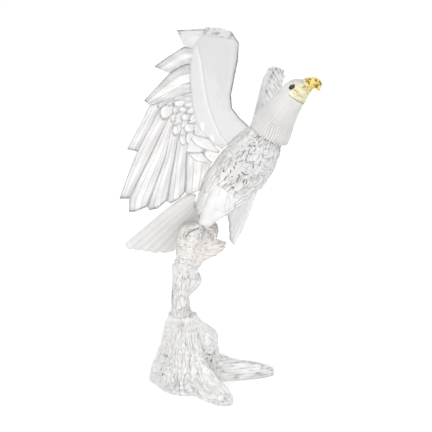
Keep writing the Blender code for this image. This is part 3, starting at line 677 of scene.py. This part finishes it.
def head_tints(rings):
    """Pale frosted feathers with fine lines near the hem, a grey crown and a lined honey cheek."""
    rows, columns, _ = rings.shape
    turn = circle(columns)
    tones = []
    for index in range(rows):
        share = min(index / (rows - 2), 1.0)
        flute, _ = hackle(turn, share)
        value, hair, _, _ = ring_shards(turn, NECK_HAIRS, share, np.full(columns, share * 3.4), seed=67)
        flute = flute - 0.09 * bell(hair, 0.08) * (value > 0.35)
        # Painted light and shade: flute crests lighter and hollows darker, and painted shade along the hem.
        tones.append(0.80 + 1.3 * flute - 0.12 * ease((0.04 - share) / 0.04))
    tints = tinted(np.array(tones), NECK_HUE)
    x, z = rings[..., 0], rings[..., 2] - PERCH_TOP
    below = z - FACE_LOW[1] - FACE_SLOPE * (x - FACE_LOW[0])
    face = ease((below + 0.2) / 0.3) * (x > FACE_EDGE_X)
    crown = ease((z - cheek_top(x)) / 0.4)
    border = bell(below - 0.25, 0.35) * (x > FACE_EDGE_X - 0.4)
    border = border + 0.6 * bell(x * BEAK_PLANE[0] + z * BEAK_PLANE[2] - BEAK_JOINT + 0.5, 0.3)
    brow = bell(z - cheek_top(x), 0.35)
    upward = 0.74 * (x - 60.0) + 0.67 * (z - 76.0)
    chip, chip_border, _, _ = shards(upward * 0.28, below * 0.62 + 0.1 * upward, OPEN, seed=121)
    honey_tone = 1.0 - 0.12 * chip - 0.75 * bell(chip_border, 0.09) * (0.2 + chip)
    face_tint = mixed(tinted(honey_tone, WHITE), tinted(0.87 - 0.35 * brow, CROWN_HUE), crown[..., None])
    tints = mixed(tints, face_tint, face[..., None])
    return tints * (1.0 - 0.8 * np.clip(border, 0.0, 1.0)[..., None] * np.array([0.8, 0.8, 1.0]))


def cheek_top(x):
    """Height above the perch where the honey cheek meets the grey crown."""
    return CHEEK_TOP[1] + CHEEK_SLOPE * (x - CHEEK_TOP[0])


def pair_ring(upper, lower, half_width, count, grow, shift):
    """Oval ring between an upper and a lower point in side view."""
    top = SEAT + np.array([upper[0], HEAD_SIDE, upper[1]]) + shift
    bottom = SEAT + np.array([lower[0], HEAD_SIDE, lower[1]]) + shift
    middle, half = (top + bottom) / 2.0, (top - bottom) / 2.0
    scale = 1.0 + grow / np.linalg.norm(half)
    turn = circle(count)
    return middle + np.outer(np.sin(turn) * scale, half) + np.outer(np.cos(turn) * (half_width + grow), [0, -1, 0])


def beak_rings(count, rows):
    """Hooked beak with a thicker root, a mouth line and nostrils."""
    sections = smooth_line([(*upper, *lower, half) for upper, lower, half in BEAK_SECTIONS],
                           np.linspace(0, len(BEAK_SECTIONS) - 1, rows))
    rings = []
    turn = circle(count)
    for index, section in enumerate(sections):
        share = index / (rows - 1)
        ring = pair_ring(section[:2], section[2:4], section[4], count, 0.0, np.zeros(3))
        mouth = bell(np.sin(turn) + 0.45, 0.09) * ease((0.62 - share) / 0.1)
        cere = 0.25 * ease((0.2 - share) / 0.04)
        nostril = np.exp(-((np.sin(turn) - 0.3) / 0.16) ** 2 - ((share - 0.13) / 0.045) ** 2)
        inward = np.outer(np.cos(turn) * (0.5 * mouth + 0.7 * nostril - cere), [0, 1, 0])
        rings.append(ring + inward)
    return np.array(rings)


def eye_rings(side, grow, count, rows):
    """Tilted oval eye on one side of the head."""
    x, offset, z = EYE_PLACE
    middle = SEAT + np.array([x, HEAD_SIDE + side * offset, z])
    fall = np.linspace(0, math.pi, rows + 2)[1:-1]
    fall, turn = np.meshgrid(fall, circle(count), indexing="ij")
    along_eye = (EYE_RADIUS[0] + grow) * np.sin(fall) * np.cos(turn)
    across_eye = (EYE_OPENING * EYE_RADIUS[2] + grow) * np.sin(fall) * np.sin(turn)
    return np.stack([middle[0] + along_eye * math.cos(EYE_TILT) - across_eye * math.sin(EYE_TILT),
                     middle[1] + (EYE_RADIUS[1] + grow) * np.cos(fall),
                     middle[2] + along_eye * math.sin(EYE_TILT) + across_eye * math.cos(EYE_TILT)], -1)


def arc(points, share):
    """Points on an open line at shares of its length."""
    points = np.asarray(points, dtype=float)
    steps = np.concatenate([[0.0], np.cumsum(np.linalg.norm(np.diff(points, axis=0), axis=1))])
    return np.stack([np.interp(share, steps / steps[-1], points[:, axis]) for axis in (0, 1)], -1)


def layered(flat, front, back, tints):
    """Front and back grid from a flat one and the heights of its two faces, and its tints."""
    return np.concatenate([flat, front[..., None]], -1), np.concatenate([flat, back[..., None]], -1), tints


def arm_grids(rim_shade, pale):
    """Front and back grid of the arm in the wing's own plane, and its tints."""
    place = np.linspace(0.0, len(WING_TIPS), ARM_COLUMNS)
    w = np.concatenate([ARM_RIM_ROWS, np.linspace(0.15, 1.0, 32)])[None, :]
    lead = along(WING_LEAD, place)
    arm = along(WING_ARM, place)
    flat = np.stack([lead[:, None, a] + (arm - lead)[:, None, a] * w for a in (0, 1)], -1)
    return layered(flat, *arm_relief(place[:, None], w, flat, rim_shade, pale))


def feather_grids(index, rim_shade, pale):
    """Front and back grid of one feather, which bends below the coverts, and its tints."""
    v = np.concatenate([np.linspace(0.0, 0.95, 76), FEATHER_TIP_ROWS])
    u = np.unique(np.concatenate([np.linspace(0.0, 1.0, 25), FEATHER_COLUMNS]))[:, None]
    corner, tips = FEATHER_CORNERS[index], WING_TIPS[index]
    left = arc(FEATHER_LINES[index] + tips[:corner + 1], v)[None, :, :]
    right = arc(FEATHER_LINES[index + 1] + tips[3:], v)[None, :, :]
    flat = left + (right - left) * u[..., None]
    end = arc(tips[corner:], np.minimum(u[:, 0], 1.0))
    straight = left[0, -1] + (right[0, -1] - left[0, -1]) * np.minimum(u, 1.0)
    flat = flat + (end - straight)[:, None, :] * (v ** 8)[None, :, None]
    return layered(flat, *feather_relief(index, u, v[None, :], rim_shade, pale))


def arm_relief(place, w, flat, rim_shade, pale):
    """Polished arm of the wing: one long ridge, a bevelled rim and cut facets along the top."""
    p, q = flat[..., 0], flat[..., 1]
    ridge = np.interp(place, np.arange(len(ARM_RIDGE)), ARM_RIDGE)
    bevel = np.sqrt(np.clip(w / 0.1, 0.0, 1.0))
    rise = np.where(w < ridge, 2.0 + 0.9 * w / ridge, 2.9 - 1.2 * (w - ridge) / (1.0 - ridge))
    top = ease((q - 62.6 + 0.16 * p) / 1.2)
    cuts = top * 0.18 * np.sin(place * 9.0) * np.sin(w * 22.0 + place * 3.0)
    front = 0.25 + (rise - 0.25) * bevel + cuts
    back = np.broadcast_to(-(0.25 + 1.95 * bevel), front.shape)
    line = bell(w - ridge, 0.014)
    shade_line = bell(w - ridge + 0.035, 0.018)
    rim = bell(w, 0.02)
    inset_highlight = bell(w - 0.13, 0.02)
    slant_highlight = bell(p - 1.0 - 0.25 * (q - 30.0), 0.35) * ease((42.0 - q) / 12.0) * (w < ridge)
    # Painted light and shade: highlights on the ridge and inside the rim, shade beside the ridge and on the rim, one
    # face lighter.
    tone = 0.745 + 0.15 * line - 0.11 * shade_line - rim_shade * rim + 0.07 * inset_highlight + 0.02 * (w > ridge)
    # Painted shade along the arm's edge where the feathers meet it; painted highlights in a slanting strip.
    tone = tone - 0.3 * bell(1.0 - w, 0.02) * (1.0 - top) + 0.04 * slant_highlight
    sparkle = scatter(np.floor(place * 7.0), np.floor(w * 12.0), seed=31)
    band = bell(top - 0.5, 0.3)
    top_tone = 0.70 - rim_shade * rim - 0.35 * (sparkle > 0.84) + 0.1 * sparkle
    tone = mixed(tone, top_tone, top) - 0.16 * band
    # Painted highlights: two pale teardrops on the arm.
    highlight_drops = sum(bell(((p - x) / 1.1) ** 2 + ((q - y) / 2.3) ** 2, 1.0) for x, y in ARM_HIGHLIGHT_DROPS)
    tone = tone + 0.18 * highlight_drops
    bar, _, bar_across, bar_off = shards(w * 3.0, q / 2.3 + w * 0.9, OPEN, seed=131)
    stroke = bell(bar_off + 0.5 * bar_across, 0.17) * ease((q - 24.0) / 6.0)
    tone = tone + pale * (0.30 - 0.80 * (w > 0.04) * stroke * (bar > 0.35))
    return front, back, tinted(tone, WHITE)


def feather_relief(index, u, v, rim_shade, pale):
    """Flight feather with three long facets, stepped at its overlap with the next one, under rows of coverts."""
    half = reading(FEATHER_THICKNESS, v)
    left_bevel = 1.0 - np.clip(u / 0.03, 0.0, 1.0)
    middle = FEATHER_STEP * (1.0 - 2.0 * u) * np.minimum(1.0, v * 3.0) - FEATHER_BEND * v * v
    facets = reading(FACET_HEIGHTS, u) * (1.0 - 0.4 * v)
    luck = scatter(float(index), 2.0, seed=17)
    barbs = 0.03 * np.sin(u * 38.0 + 1.5 * np.sin(v * 9.0 + luck * 6.0))
    sunk = 1.0 - ease(v / 0.09)
    covert, covert_tone, presence = covert_relief(index, u, v)
    front = middle + half * 0.85 + facets + barbs - 0.35 * left_bevel - sunk + covert
    back = middle - half * 0.85 + 0.25 * left_bevel - 0.5 * facets
    first_line, second_line = (bell(u - place, 0.02) for place in FACET_LINES)
    # Painted light and shade: each of the three facets has its own tone, as lit and shaded faces, with darker lines
    # where they meet.
    tone = reading(FACET_SHADING, u) + 0.22 * pale
    tone = tone - 0.04 * (index in (2, 7, 8))
    tone = tone + 0.05 * (luck - 0.5) - 0.24 * first_line - 0.24 * second_line * (0.4 + luck)
    # The last term paints the barbs lighter on their crests and darker between them.
    tone = tone + 0.05 * np.sin((v * 2.3 + u * 0.8 + luck * 3.0) * math.tau) + 1.2 * barbs
    # Painted shade along the feather's sides and across its tip.
    rim = np.maximum(bell(u, 0.05), 0.8 * bell(1.0 - u, 0.035))
    end = bell(1.0 - v, 0.018)
    if index in (1, 2):
        hatch = 0.05 * np.sin(v * 110.0 + u * 9.0) * (u < 0.3)
        # Painted highlights on two pale lines across the feather, and painted shade on the facet by its root.
        pane = bell(u - 0.75 + 0.35 * v, 0.03) + bell(u - 0.5 - 0.3 * v, 0.03)
        root = ease((0.3 - v) / 0.1) * (u > 0.6)
        tone = tone + hatch * (index == 2) - 0.12 * (u < 0.3) + 0.14 * pane - 0.12 * root
    tone = tone - rim_shade * np.maximum(rim, end)
    tip = ease((v - 0.86) / 0.06)
    tone = tone - 0.06 * tip * (0.5 + 0.5 * np.sin(u * 40.0) * np.sin(v * 200.0))
    if index == 0:
        band = ease((0.42 - u) / 0.12)
        chips = scatter(np.floor(v * 8.0), np.floor(u * 12.0), seed=29)
        tone = 0.84 + 0.13 * pale - rim_shade * np.maximum(bell(u, 0.05), end)
        tone = tone - band * (0.12 + 0.25 * (chips > 0.8) - 0.12 * chips)
    tone = mixed(tone, covert_tone, presence)
    lilac = ease(0.5 + 0.6 * np.sin(u * 5.0 + luck * 9.0 + v * 3.0))[..., None]
    return front, back, tinted(tone, mixed(FEATHER_CREAM, FEATHER_LILAC, lilac))


def covert_relief(index, u, v):
    """Rows of short rounded feathers over the root of a long one, uneven as hand-cut work is."""
    total = np.zeros(np.broadcast(u, v).shape)
    tone = np.zeros_like(total)
    presence = np.zeros_like(total)
    if COVERT_REACH[index] == 0.0:
        return total, tone, presence
    for row, (share, depth, count, shift) in enumerate(COVERT_ROWS):
        turn = (u + index) * count + shift
        cell = np.floor(turn)
        local = (turn - cell) * 2.0 - 1.0
        luck = scatter(cell, float(row), seed=41)
        reach = COVERT_REACH[index] * share * (0.86 + 0.28 * luck)
        edge = reach - depth * COVERT_REACH[index] * local * local
        inside = ease((edge - v) / 0.006)
        swell = 0.5 + 0.5 * np.clip(v / reach, 0.0, 1.0)
        total = total + COVERT_LIFT * inside * (1.0 - 0.6 * local * local) * swell
        side = bell(np.abs(local) - 1.0, 0.10)
        lip = bell(edge - v - 0.007, 0.009)
        shine = np.exp(-((local + 0.2) / 0.35) ** 2 - ((edge - v - 0.035) / 0.02) ** 2)
        # Painted shade on each covert's sides and under its lip, and a painted highlight inside it.
        here = 0.76 + 0.12 * luck - 0.40 * side * (0.3 + luck) - 0.70 * lip * (0.4 + 0.8 * luck) + 0.25 * shine
        tone = mixed(tone, here, inside)
        presence = np.maximum(presence, inside)
    return total, tone, presence


def placed(grid, shoulder, outward, upward, facing):
    """Points of a wing's grid in the part's frame, with the wing's slight twist."""
    p, q, t = grid[..., 0], grid[..., 1], grid[..., 2]
    t = t - WING_TWIST * p * (q - TWIST_HEIGHT)
    return shoulder + outward * -p[..., None] + upward * q[..., None] + facing * t[..., None]


def wing_object(name, frame_of_wing, arm_rim_shade, feather_rim_shade, pale):
    """Wing as one solid: the arm with each feather joined to it, cut free of the body and the head."""
    front, back, tints = arm_grids(arm_rim_shade, pale)
    wing = panel(name, placed(front, *frame_of_wing), placed(back, *frame_of_wing), tints)
    for index in range(len(WING_TIPS)):
        front, back, tints = feather_grids(index, feather_rim_shade, pale)
        feather = panel("feather", placed(front, *frame_of_wing), placed(back, *frame_of_wing), tints)
        combined(wing, feather, "UNION")
    combined(wing, body_cutter(FIT_GAP), "DIFFERENCE")
    combined(wing, ring_stack("head_room", head_rings(FIT_GAP, *HEAD_ROOM_GRID, False)), "DIFFERENCE")
    return wing


def tail_object():
    """Tail as a fan of feathers with raised middles and grooves between them, brown-streaked at the root."""
    share = np.linspace(0.0, 1.0, TAIL_FEATHERS * TAIL_SAMPLES + 1)
    rows = np.concatenate([np.linspace(0.0, 0.96, 48), TAIL_TIP_ROWS])
    share, row = np.meshgrid(share, rows, indexing="ij")
    edge_right = along(TAIL_EDGE_RIGHT, row * 2.0)
    edge_left = along(TAIL_EDGE_LEFT, row * 2.0)
    flat = edge_right + (edge_left - edge_right) * share[..., None]
    ends = smooth_line(TAIL_ENDS, share * (len(TAIL_ENDS) - 1))
    flat = flat + (ends - flat) * (row ** 3)[..., None]
    local = np.where(share >= 1.0, 1.0, np.mod(share * TAIL_FEATHERS, 1.0))
    vane = np.clip(np.minimum(local, 1.0 - local) / 0.16, 0.0, 1.0)
    half = reading(TAIL_THICKNESS, rows)[None, :]
    crown = 0.4 * np.sin(np.clip(local, 0, 1) * math.pi) - 0.2
    barbs = np.sin((local * 4.0 + row * 9.0) * math.tau)
    groove = -0.3 * (1.0 - vane) * ease(row / 0.2)
    base = TAIL_ROOT + flat[..., :1] * BODY_RIGHT - flat[..., 1:] * BODY_AXIS
    front = base + (crown + half * 0.85 + groove + 0.04 * barbs)[..., None] * BODY_BACK
    back = base + (crown - half * 0.85 - groove - 0.04 * barbs)[..., None] * BODY_BACK
    # Painted shade in the grooves between the feathers, painted light on their raised middles and the barbs' crests.
    tone = 0.88 - 0.10 * (1.0 - vane) ** 2 + 0.05 * np.sin(local * math.pi) + 0.015 * barbs
    root = ease((0.62 - row) / 0.4)
    streak = bell(np.abs(np.sin(local * 9.0 + row * 6.0 + 2.0 * np.sin(share * 20.0))), 0.25)
    # Painted shade along the tips; near the root, painted light lifts the body's shade, less on the brown streaks.
    tone = tone - 0.2 * bell(1.0 - row, 0.02) + root * (0.16 - 0.22 * streak)
    brown = (root * (0.4 + 0.6 * streak))[..., None]
    tail = panel("tail_fine", front, back, tinted(tone, mixed(TAIL_HUE, TAIL_BROWN, brown)))
    return combined(tail, body_cutter(FIT_GAP), "DIFFERENCE")


def add_node(material, kind, place, **values):
    """Node at a place in a material's graph, with values on its inputs."""
    node = material.node_tree.nodes.new(kind)
    node.location = place
    for label, value in values.items():
        node.inputs[label].default_value = value
    return node


def add_tint(material, source, low, high, carved, band):
    """Colour from the noise between two tints, times the tint of the points where the surface is carved."""
    links = material.node_tree.links
    ramp = add_node(material, "ShaderNodeValToRGB", (-600, 100))
    for stop, position, colour in zip(ramp.color_ramp.elements, band, (low, high)):
        stop.position = position
        stop.color = (*colour, 1.0)
    links.new(source, ramp.inputs["Fac"])
    if not carved:
        return ramp.outputs["Color"]
    tint = add_node(material, "ShaderNodeVertexColor", (-600, 300))
    tint.layer_name = "tint"
    product = add_node(material, "ShaderNodeMix", (-250, 200))
    product.data_type = "RGBA"
    product.blend_type = "MULTIPLY"
    product.inputs["Factor"].default_value = 1.0
    links.new(ramp.outputs["Color"], product.inputs["A"])
    links.new(tint.outputs["Color"], product.inputs["B"])
    return product.outputs["Result"]


def crystal(name, colour, low, high, roughness, transmission, bump=0.0, bend=1.5, scale=260.0, detail=4.0,
            carved=True, band=(0.3, 0.7)):
    """Crystal whose colour, between two tints, and fine unevenness come from noise in the object's coordinates."""
    material = bpy.data.materials.new(name)
    material.use_nodes = True
    shader = material.node_tree.nodes["Principled BSDF"]
    shader.inputs["Base Color"].default_value = (*colour, 1.0)
    shader.inputs["Roughness"].default_value = roughness
    shader.inputs["Transmission Weight"].default_value = transmission
    shader.inputs["IOR"].default_value = bend
    material.diffuse_color = (*colour, 1.0)
    links = material.node_tree.links
    coordinates = add_node(material, "ShaderNodeTexCoord", (-1000, -200))
    noise = add_node(material, "ShaderNodeTexNoise", (-800, -200), Scale=scale, Detail=detail)
    links.new(coordinates.outputs["Object"], noise.inputs["Vector"])
    links.new(add_tint(material, noise.outputs["Fac"], low, high, carved, band), shader.inputs["Base Color"])
    if bump:
        uneven = add_node(material, "ShaderNodeBump", (-200, -400), Strength=bump, Distance=BUMP_HEIGHT * MM)
        links.new(noise.outputs["Fac"], uneven.inputs["Height"])
        links.new(uneven.outputs["Normal"], shader.inputs["Normal"])
    return material


def dressed(obj, material, node, angle):
    """Piece with its material, smooth but for edges sharper than an angle, in the place of a solid of the part."""
    obj.data.materials.clear()
    obj.data.materials.append(material)
    obj.data.validate()
    obj.data.shade_smooth()
    obj.data.set_sharp_from_angle(angle=math.radians(angle))
    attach(obj, "root")
    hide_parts(node)
    return obj


# Materials
wing_crystal = crystal("wing_crystal", WHITE, (0.95, 0.95, 0.955), WHITE, 0.03, 0.86, bump=0.15)
body_crystal = crystal("body_crystal", WHITE, (0.95, 0.95, 0.955), WHITE, 0.02, 0.5, bump=0.2, bend=1.35)
bark_crystal = crystal("bark_crystal", WHITE, (0.94, 0.93, 0.92), WHITE, 0.04, 0.42, bump=0.4, bend=1.35)
frosted_grey = crystal("frosted_grey", WHITE, (0.92, 0.92, 0.92), WHITE, 0.45, 0.22, bump=0.35)
frosted_warm = crystal("frosted_warm", WHITE, (0.95, 0.95, 0.945), WHITE, 0.4, 0.3, bump=0.3)
golden = crystal("golden_crystal", (0.95, 0.70, 0.16), (0.22, 0.11, 0.01), (1.0, 0.82, 0.24), 0.05, 0.55, bump=0.6,
                 scale=620.0, detail=2.0, carved=False, band=(0.38, 0.5))
honey = crystal("honey_crystal", (0.9, 0.8, 0.4), (1.0, 0.86, 0.42), (1.0, 0.98, 0.80), 0.05, 0.35, bump=0.5,
                scale=520.0, detail=2.0, band=(0.4, 0.58))
jet = crystal("jet_glass", (0.012, 0.012, 0.018), (0.01, 0.01, 0.015), (0.03, 0.03, 0.04), 0.06, 0.0,
              scale=500.0, detail=2.0, carved=False)

# Stump
stump = ring_stack("stump_fine", *stump_surface())
dressed(stump, frosted_grey, "base_stump", angle=40)

# Body with thighs and toes as one casting
body = ring_stack("body_fine", *body_grid())
thigh_tints = limb_tints(*THIGH_GRID, tone=1.25, cells=9, streaks=1.0, grit=0.0)
for points in THIGHS:
    combined(body, ring_stack("thigh", limb_rings(points, 0.0, *THIGH_GRID), thigh_tints), "UNION")
toe_tints = limb_tints(*TOE_GRID, tone=1.1, cells=7, streaks=0.3, grit=1.0)
for points in SUNK_TOES:
    combined(body, ring_stack("toe", limb_rings(points, 0.0, *TOE_GRID), toe_tints), "UNION")
dressed(body, body_crystal, "body", angle=28)

# Perch, hollowed where the bird sits
perch = ring_stack("perch_fine", *perch_surface())
combined(perch, body_cutter(FIT_GAP), "DIFFERENCE")
for points in THIGHS + SUNK_TOES:
    combined(perch, ring_stack("limb_room", limb_rings(points, FIT_GAP, *LIMB_ROOM_GRID)), "DIFFERENCE")
dressed(perch, bark_crystal, "perch_branch", angle=32)

# Head with frosted neck feathers, a clear crown and a honey-coloured cheek
head_verts = head_rings(0.0, HEAD_COLUMNS, HEAD_ROWS, True)
head = ring_stack("head_fine", head_verts, head_tints(head_verts))
combined(head, body_cutter(FIT_GAP), "DIFFERENCE")
for side in (-1, 1):
    combined(head, ring_stack("eye_room", eye_rings(side, FIT_GAP / 2, *EYE_ROOM_GRID)), "DIFFERENCE")
dressed(head, frosted_warm, "head", angle=40)
CLEAR, HONEY = 1, 2
head.data.materials.append(body_crystal)
head.data.materials.append(honey)
for face in head.data.polygons:
    x, y, z = face.center / MM
    z = z - PERCH_TOP
    if x > FACE_EDGE_X and z > FACE_LOW[1] + FACE_SLOPE * (x - FACE_LOW[0]):
        face.material_index = HONEY if z < cheek_top(x) else CLEAR

# Beak and eyes
dressed(ring_stack("beak_fine", beak_rings(*BEAK_GRID)), golden, "beak", angle=40)
dressed(ring_stack("eye_right_fine", eye_rings(-1, 0.0, *EYE_GRID)), jet, "eye_right", angle=60)
dressed(ring_stack("eye_left_fine", eye_rings(1, 0.0, *EYE_GRID)), jet, "eye_left", angle=60)

# Wings
right_frame = (RIGHT_SHOULDER, RIGHT_OUT, RIGHT_UP, RIGHT_FACING)
wing_right = wing_object("wing_right_fine", right_frame, *RIGHT_RIM_SHADES, pale=0.0)
dressed(wing_right, wing_crystal, "wing_right", angle=24)
left_out = LEFT_OUT / np.linalg.norm(LEFT_OUT)
left_up = LEFT_UP - LEFT_UP.dot(left_out) * left_out
left_up = left_up / np.linalg.norm(left_up)
left_frame = (LEFT_SHOULDER, left_out, left_up, -np.cross(left_up, left_out))
wing_left = wing_object("wing_left_fine", left_frame, *LEFT_RIM_SHADES, pale=1.0)
dressed(wing_left, body_crystal, "wing_left", angle=24)

# Tail
dressed(tail_object(), frosted_warm, "tail", angle=30)


def build_floor():
    """Wide matt white floor, which isn't part of the figurine."""
    mesh = bpy.data.meshes.new("studio_floor")
    reach = 6.0
    corners = [(-reach, -reach, 0), (reach, -reach, 0), (reach, reach, 0), (-reach, reach, 0)]
    mesh.from_pydata(corners, [], [(0, 1, 2, 3)])
    floor = bpy.data.objects.new("studio_floor", mesh)
    bpy.context.scene.collection.objects.link(floor)
    material = bpy.data.materials.new("studio_white")
    material.use_nodes = True
    shader = material.node_tree.nodes["Principled BSDF"]
    shader.inputs["Base Color"].default_value = (0.97, 0.97, 0.97, 1.0)
    shader.inputs["Roughness"].default_value = 1.0
    shader.inputs["Specular IOR Level"].default_value = 0.0
    mesh.materials.append(material)


def build_world():
    """Bright studio all round, with grey sides that draw the edges of the crystal."""
    world = bpy.data.worlds.new("studio")
    bpy.context.scene.world = world
    world.use_nodes = True
    nodes, links = world.node_tree.nodes, world.node_tree.links
    background = nodes["Background"]
    coordinates = nodes.new("ShaderNodeTexCoord")
    split = nodes.new("ShaderNodeSeparateXYZ")
    side = nodes.new("ShaderNodeMath")
    side.operation = "ABSOLUTE"
    ramp = nodes.new("ShaderNodeValToRGB")
    ramp.color_ramp.elements[0].position = 0.5
    ramp.color_ramp.elements[0].color = (1.0, 1.0, 1.0, 1.0)
    ramp.color_ramp.elements[1].position = 0.85
    ramp.color_ramp.elements[1].color = (0.5, 0.5, 0.51, 1.0)
    links.new(coordinates.outputs["Generated"], split.inputs["Vector"])
    links.new(split.outputs["X"], side.inputs[0])
    links.new(side.outputs["Value"], ramp.inputs["Fac"])
    links.new(ramp.outputs["Color"], background.inputs["Color"])
    background.inputs["Strength"].default_value = 1.12


def build_light(name, place, target, size, power):
    """Round soft lamp that faces a target."""
    light = bpy.data.lights.new(name, "AREA")
    light.shape = "DISK"
    light.size = size
    light.energy = power
    lamp = bpy.data.objects.new(name, light)
    bpy.context.scene.collection.objects.link(lamp)
    lamp.location = place
    lamp.rotation_euler = (Vector(target) - Vector(place)).to_track_quat("-Z", "Y").to_euler()


def build_camera():
    """Camera with the photograph's view of the figurine."""
    data = bpy.data.cameras.new("camera")
    camera = bpy.data.objects.new("camera", data)
    bpy.context.scene.collection.objects.link(camera)
    data.lens = CAMERA_LENS
    data.sensor_width = 36.0
    data.clip_start = 0.01
    tilt = math.radians(CAMERA_ELEVATION)
    target = Vector(CAMERA_TARGET) * MM
    camera.location = target + Vector((0.0, -math.cos(tilt), math.sin(tilt))) * (CAMERA_DISTANCE * MM)
    camera.rotation_euler = (math.pi / 2 - tilt, 0.0, 0.0)
    bpy.context.scene.camera = camera


# Studio
build_floor()
build_world()
build_light("top_light", (0.2, -0.4, 1.6), target=LIGHT_TARGET, size=1.2, power=5.0)
build_light("front_light", (-0.35, -1.5, 0.55), target=LIGHT_TARGET, size=1.4, power=6.5)
build_camera()
bpy.context.scene.view_settings.view_transform = "Standard"
